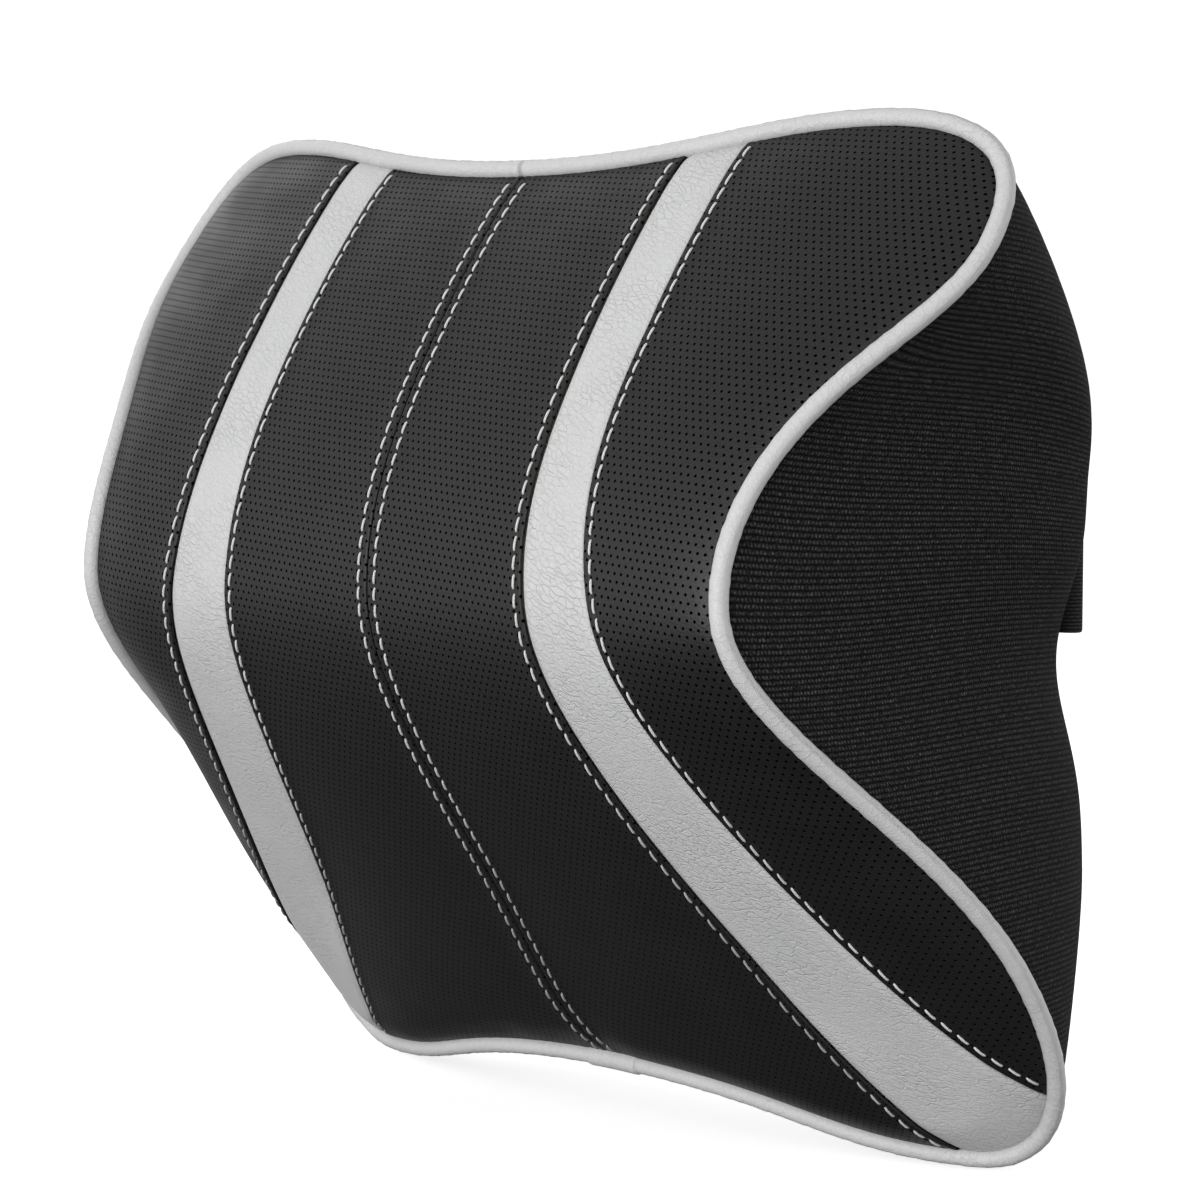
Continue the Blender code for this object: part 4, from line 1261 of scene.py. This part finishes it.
def webbing():
    """Cords along the band, crossed by staggered ribs."""
    cord_pitch, rib_pitch = 0.9, 1.3
    finish = Finish("black webbing", 0.75, 0.2)
    run, width, _ = finish.on_cloth().axes()
    cords = width / cord_pitch
    height = rounds(cords) * rounds(staggered(run / rib_pitch, cords)).maths("MULTIPLY_ADD", 0.35, 0.65)
    shade = height * noise(finish.on_part(), 1.4, 3.0, 0.7).maths("MULTIPLY_ADD", 1.2, 0.3)
    finish.paint(shade, (0.0015, 0.0015, 0.0016), (0.034, 0.034, 0.035))
    return finish.done(height, 0.35, 0.9)


def acetal():
    finish = Finish("black acetal", 0.36, 0.5)
    at = finish.on_part()
    mottle = noise(at, 0.12, 3.0)
    finish.paint(mottle, (0.010, 0.010, 0.011), (0.018, 0.018, 0.019))
    finish.feed("Roughness", ease(mottle, 0.3, 0.7, 0.3, 0.42))
    return finish.done(noise(at, 5.0, 2.0), 0.04, 0.6)


def zip_cloth():
    finish = Finish("zip tape cloth", 0.8, 0.2)
    x, _, z = finish.on_part().axes()
    height = rounds(z / 0.7) * rounds((x + z * 0.8) / 0.6)
    finish.paint(height, (0.004, 0.004, 0.0045), (0.022, 0.022, 0.024))
    return finish.done(height, 0.25, 0.9)


def zinc():
    finish = Finish("blackened zinc", 0.34, 0.5, Metallic=1.0)
    scratch = noise(finish.on_part().vector("MULTIPLY", (0.25, 2.0, 2.0)), 2.5, 4.0, 0.65)
    finish.paint(scratch, (0.10, 0.10, 0.105), (0.21, 0.21, 0.22))
    finish.feed("Roughness", ease(scratch, 0.3, 0.7, 0.26, 0.44))
    return finish.done(scratch, 0.02, 0.5)


def foam():
    finish = Finish("memory foam", 0.9, 0.1)
    cells = add(finish.tree, "TexVoronoi", {"Vector": finish.on_part(), "Scale": 0.9}, "Distance")
    finish.paint(cells, (0.72, 0.64, 0.45), (0.84, 0.78, 0.6))
    return finish.done(cells, 0.3, 0.8)


def satin():
    finish = Finish("white satin", 0.4, 0.5)
    x, y, _ = finish.on_cloth().axes()
    height = rounds(x / 0.45).maths("MULTIPLY_ADD", 0.7, rounds(y / 0.45) * 0.3)
    finish.paint(height, (0.62, 0.62, 0.61), (0.78, 0.78, 0.77))
    return finish.done(height, 0.08, 0.8)


def floor_paint():
    finish = Finish("pale floor", 0.85, 0.1, Emission_Color=(1.0,) * 4, Emission_Strength=0.6)
    finish.paint(noise(finish.on_part(), 0.004, 2.0), (0.86,) * 3, (0.88,) * 3)
    return finish.material


# ---- Stage

CAMERA_AZIMUTH = 45.37
CAMERA_ELEVATION = 4.02
CAMERA_ROLL = 0.16
CAMERA_AWAY = 978.8
CAMERA_SHIFT = (-34.7, -1.2)
CAMERA_LENS = 112.0
FLOOR_BELOW = 0.6


def set_camera():
    """A long lens a little above the part, in front of it and to its right."""
    azimuth, elevation, roll = (math.radians(v) for v in (CAMERA_AZIMUTH, CAMERA_ELEVATION, CAMERA_ROLL))
    level = math.cos(elevation)
    back = Vector((math.sin(azimuth) * level, -math.cos(azimuth) * level, math.sin(elevation)))
    right = (-back).cross(Vector((0.0, 0.0, 1.0))).normalized()
    up = right.cross(-back)
    place = (back * CAMERA_AWAY + right * CAMERA_SHIFT[0] + up * CAMERA_SHIFT[1]) * MM
    turned = right * math.cos(roll) + up * math.sin(roll)
    raised = up * math.cos(roll) - right * math.sin(roll)
    lens = bpy.data.cameras.new("camera")
    lens.lens = CAMERA_LENS
    lens.sensor_width = 36.0
    lens.clip_start = 0.05
    made = link(bpy.data.objects.new("camera", lens))
    made.matrix_world = Matrix.Translation(place) @ Matrix((turned, raised, back)).transposed().to_4x4()
    bpy.context.scene.camera = made


def area_light(name, place, aim, size, power):
    light = bpy.data.lights.new(name, "AREA")
    light.shape = "RECTANGLE"
    light.size, light.size_y = size
    light.energy = power
    made = link(bpy.data.objects.new(name, light))
    made.location = place
    made.rotation_euler = (Vector(aim) - Vector(place)).to_track_quat("-Z", "Y").to_euler()
    made.visible_camera = False


def set_stage():
    """A pale floor under the cushion, a white room and soft light from above."""
    level = cad_box[0].z / MM - FLOOR_BELOW
    count = 48
    rings = (350.0, 800.0, 1800.0, 4000.0, 9000.0)
    angle = np.arange(count) * 2 * math.pi / count
    circle = np.stack([np.cos(angle), np.sin(angle)], 1)
    flat = np.concatenate([np.zeros((1, 2)), *(circle * radius for radius in rings)])
    verts = np.c_[flat, np.full(len(flat), level)]
    faces = [(0, 1 + k, 1 + (k + 1) % count) for k in range(count)]
    faces += (grid_faces(len(rings), count, closed=True, start=1)[:, ::-1]).tolist()
    floor = make_object("floor", verts, faces, floor_paint(), body=None)
    floor.visible_diffuse = False
    floor.visible_glossy = False
    world = bpy.data.worlds.new("room")
    bpy.context.scene.world = world
    world.use_nodes = True
    tree = world.node_tree
    height = add(tree, "TexCoord", {}, "Generated").axes()[2]
    strength = ease(height, 0.25, 0.8, 1.06, 0.5) * ease(height, -0.66, -0.02, 0.08, 1.0)
    tree.links.new(strength.socket, tree.nodes["Background"].inputs["Strength"])
    tree.nodes["Background"].inputs["Color"].default_value = (1.0,) * 4
    area_light("key", (0.25, -1.35, 0.12), (0.0, -0.05, 0.0), (1.2, 0.8), 13.6)
    area_light("top", (0.0, 0.1, 1.6), (0.0, 0.1, 0.0), (2.2, 2.2), 3.0)
    area_light("rim", (-1.0, 0.35, 0.75), (-0.1, -0.03, 0.05), (0.8, 0.8), 2.2)
    bpy.context.scene.view_settings.view_transform = "Standard"


# ---- Put together

cloth_black = black_leather()
cloth_grey = grey_leather("light grey leatherette", 2.9, 1.4, 0.16)
thread_white = white_thread()
thread_black = black_thread()
plastic = acetal()
metal = zinc()
web = webbing()

core = body_mesh(FOAM_INSET)
padding = Padding(core)
zip_room(core)
core.data.materials.append(foam())
core.data.polygons.foreach_set("use_smooth", [True] * len(core.data.polygons))
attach(core, "cushion")
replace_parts(core, "foam_core")

front_panels(padding, cloth_black, cloth_grey)
all_stitches(padding, thread_white)
piping(padding, grey_leather("light grey piping", 2.0, 3.4, 0.08))
cover = knit_cover(padding, knit())
care_label(padding, satin())
straps(web)
strap_sewing(thread_black)
zip_dressing(cover, plastic, thread_black)

fittings(plastic, metal, web, zip_cloth())
set_camera()
set_stage()
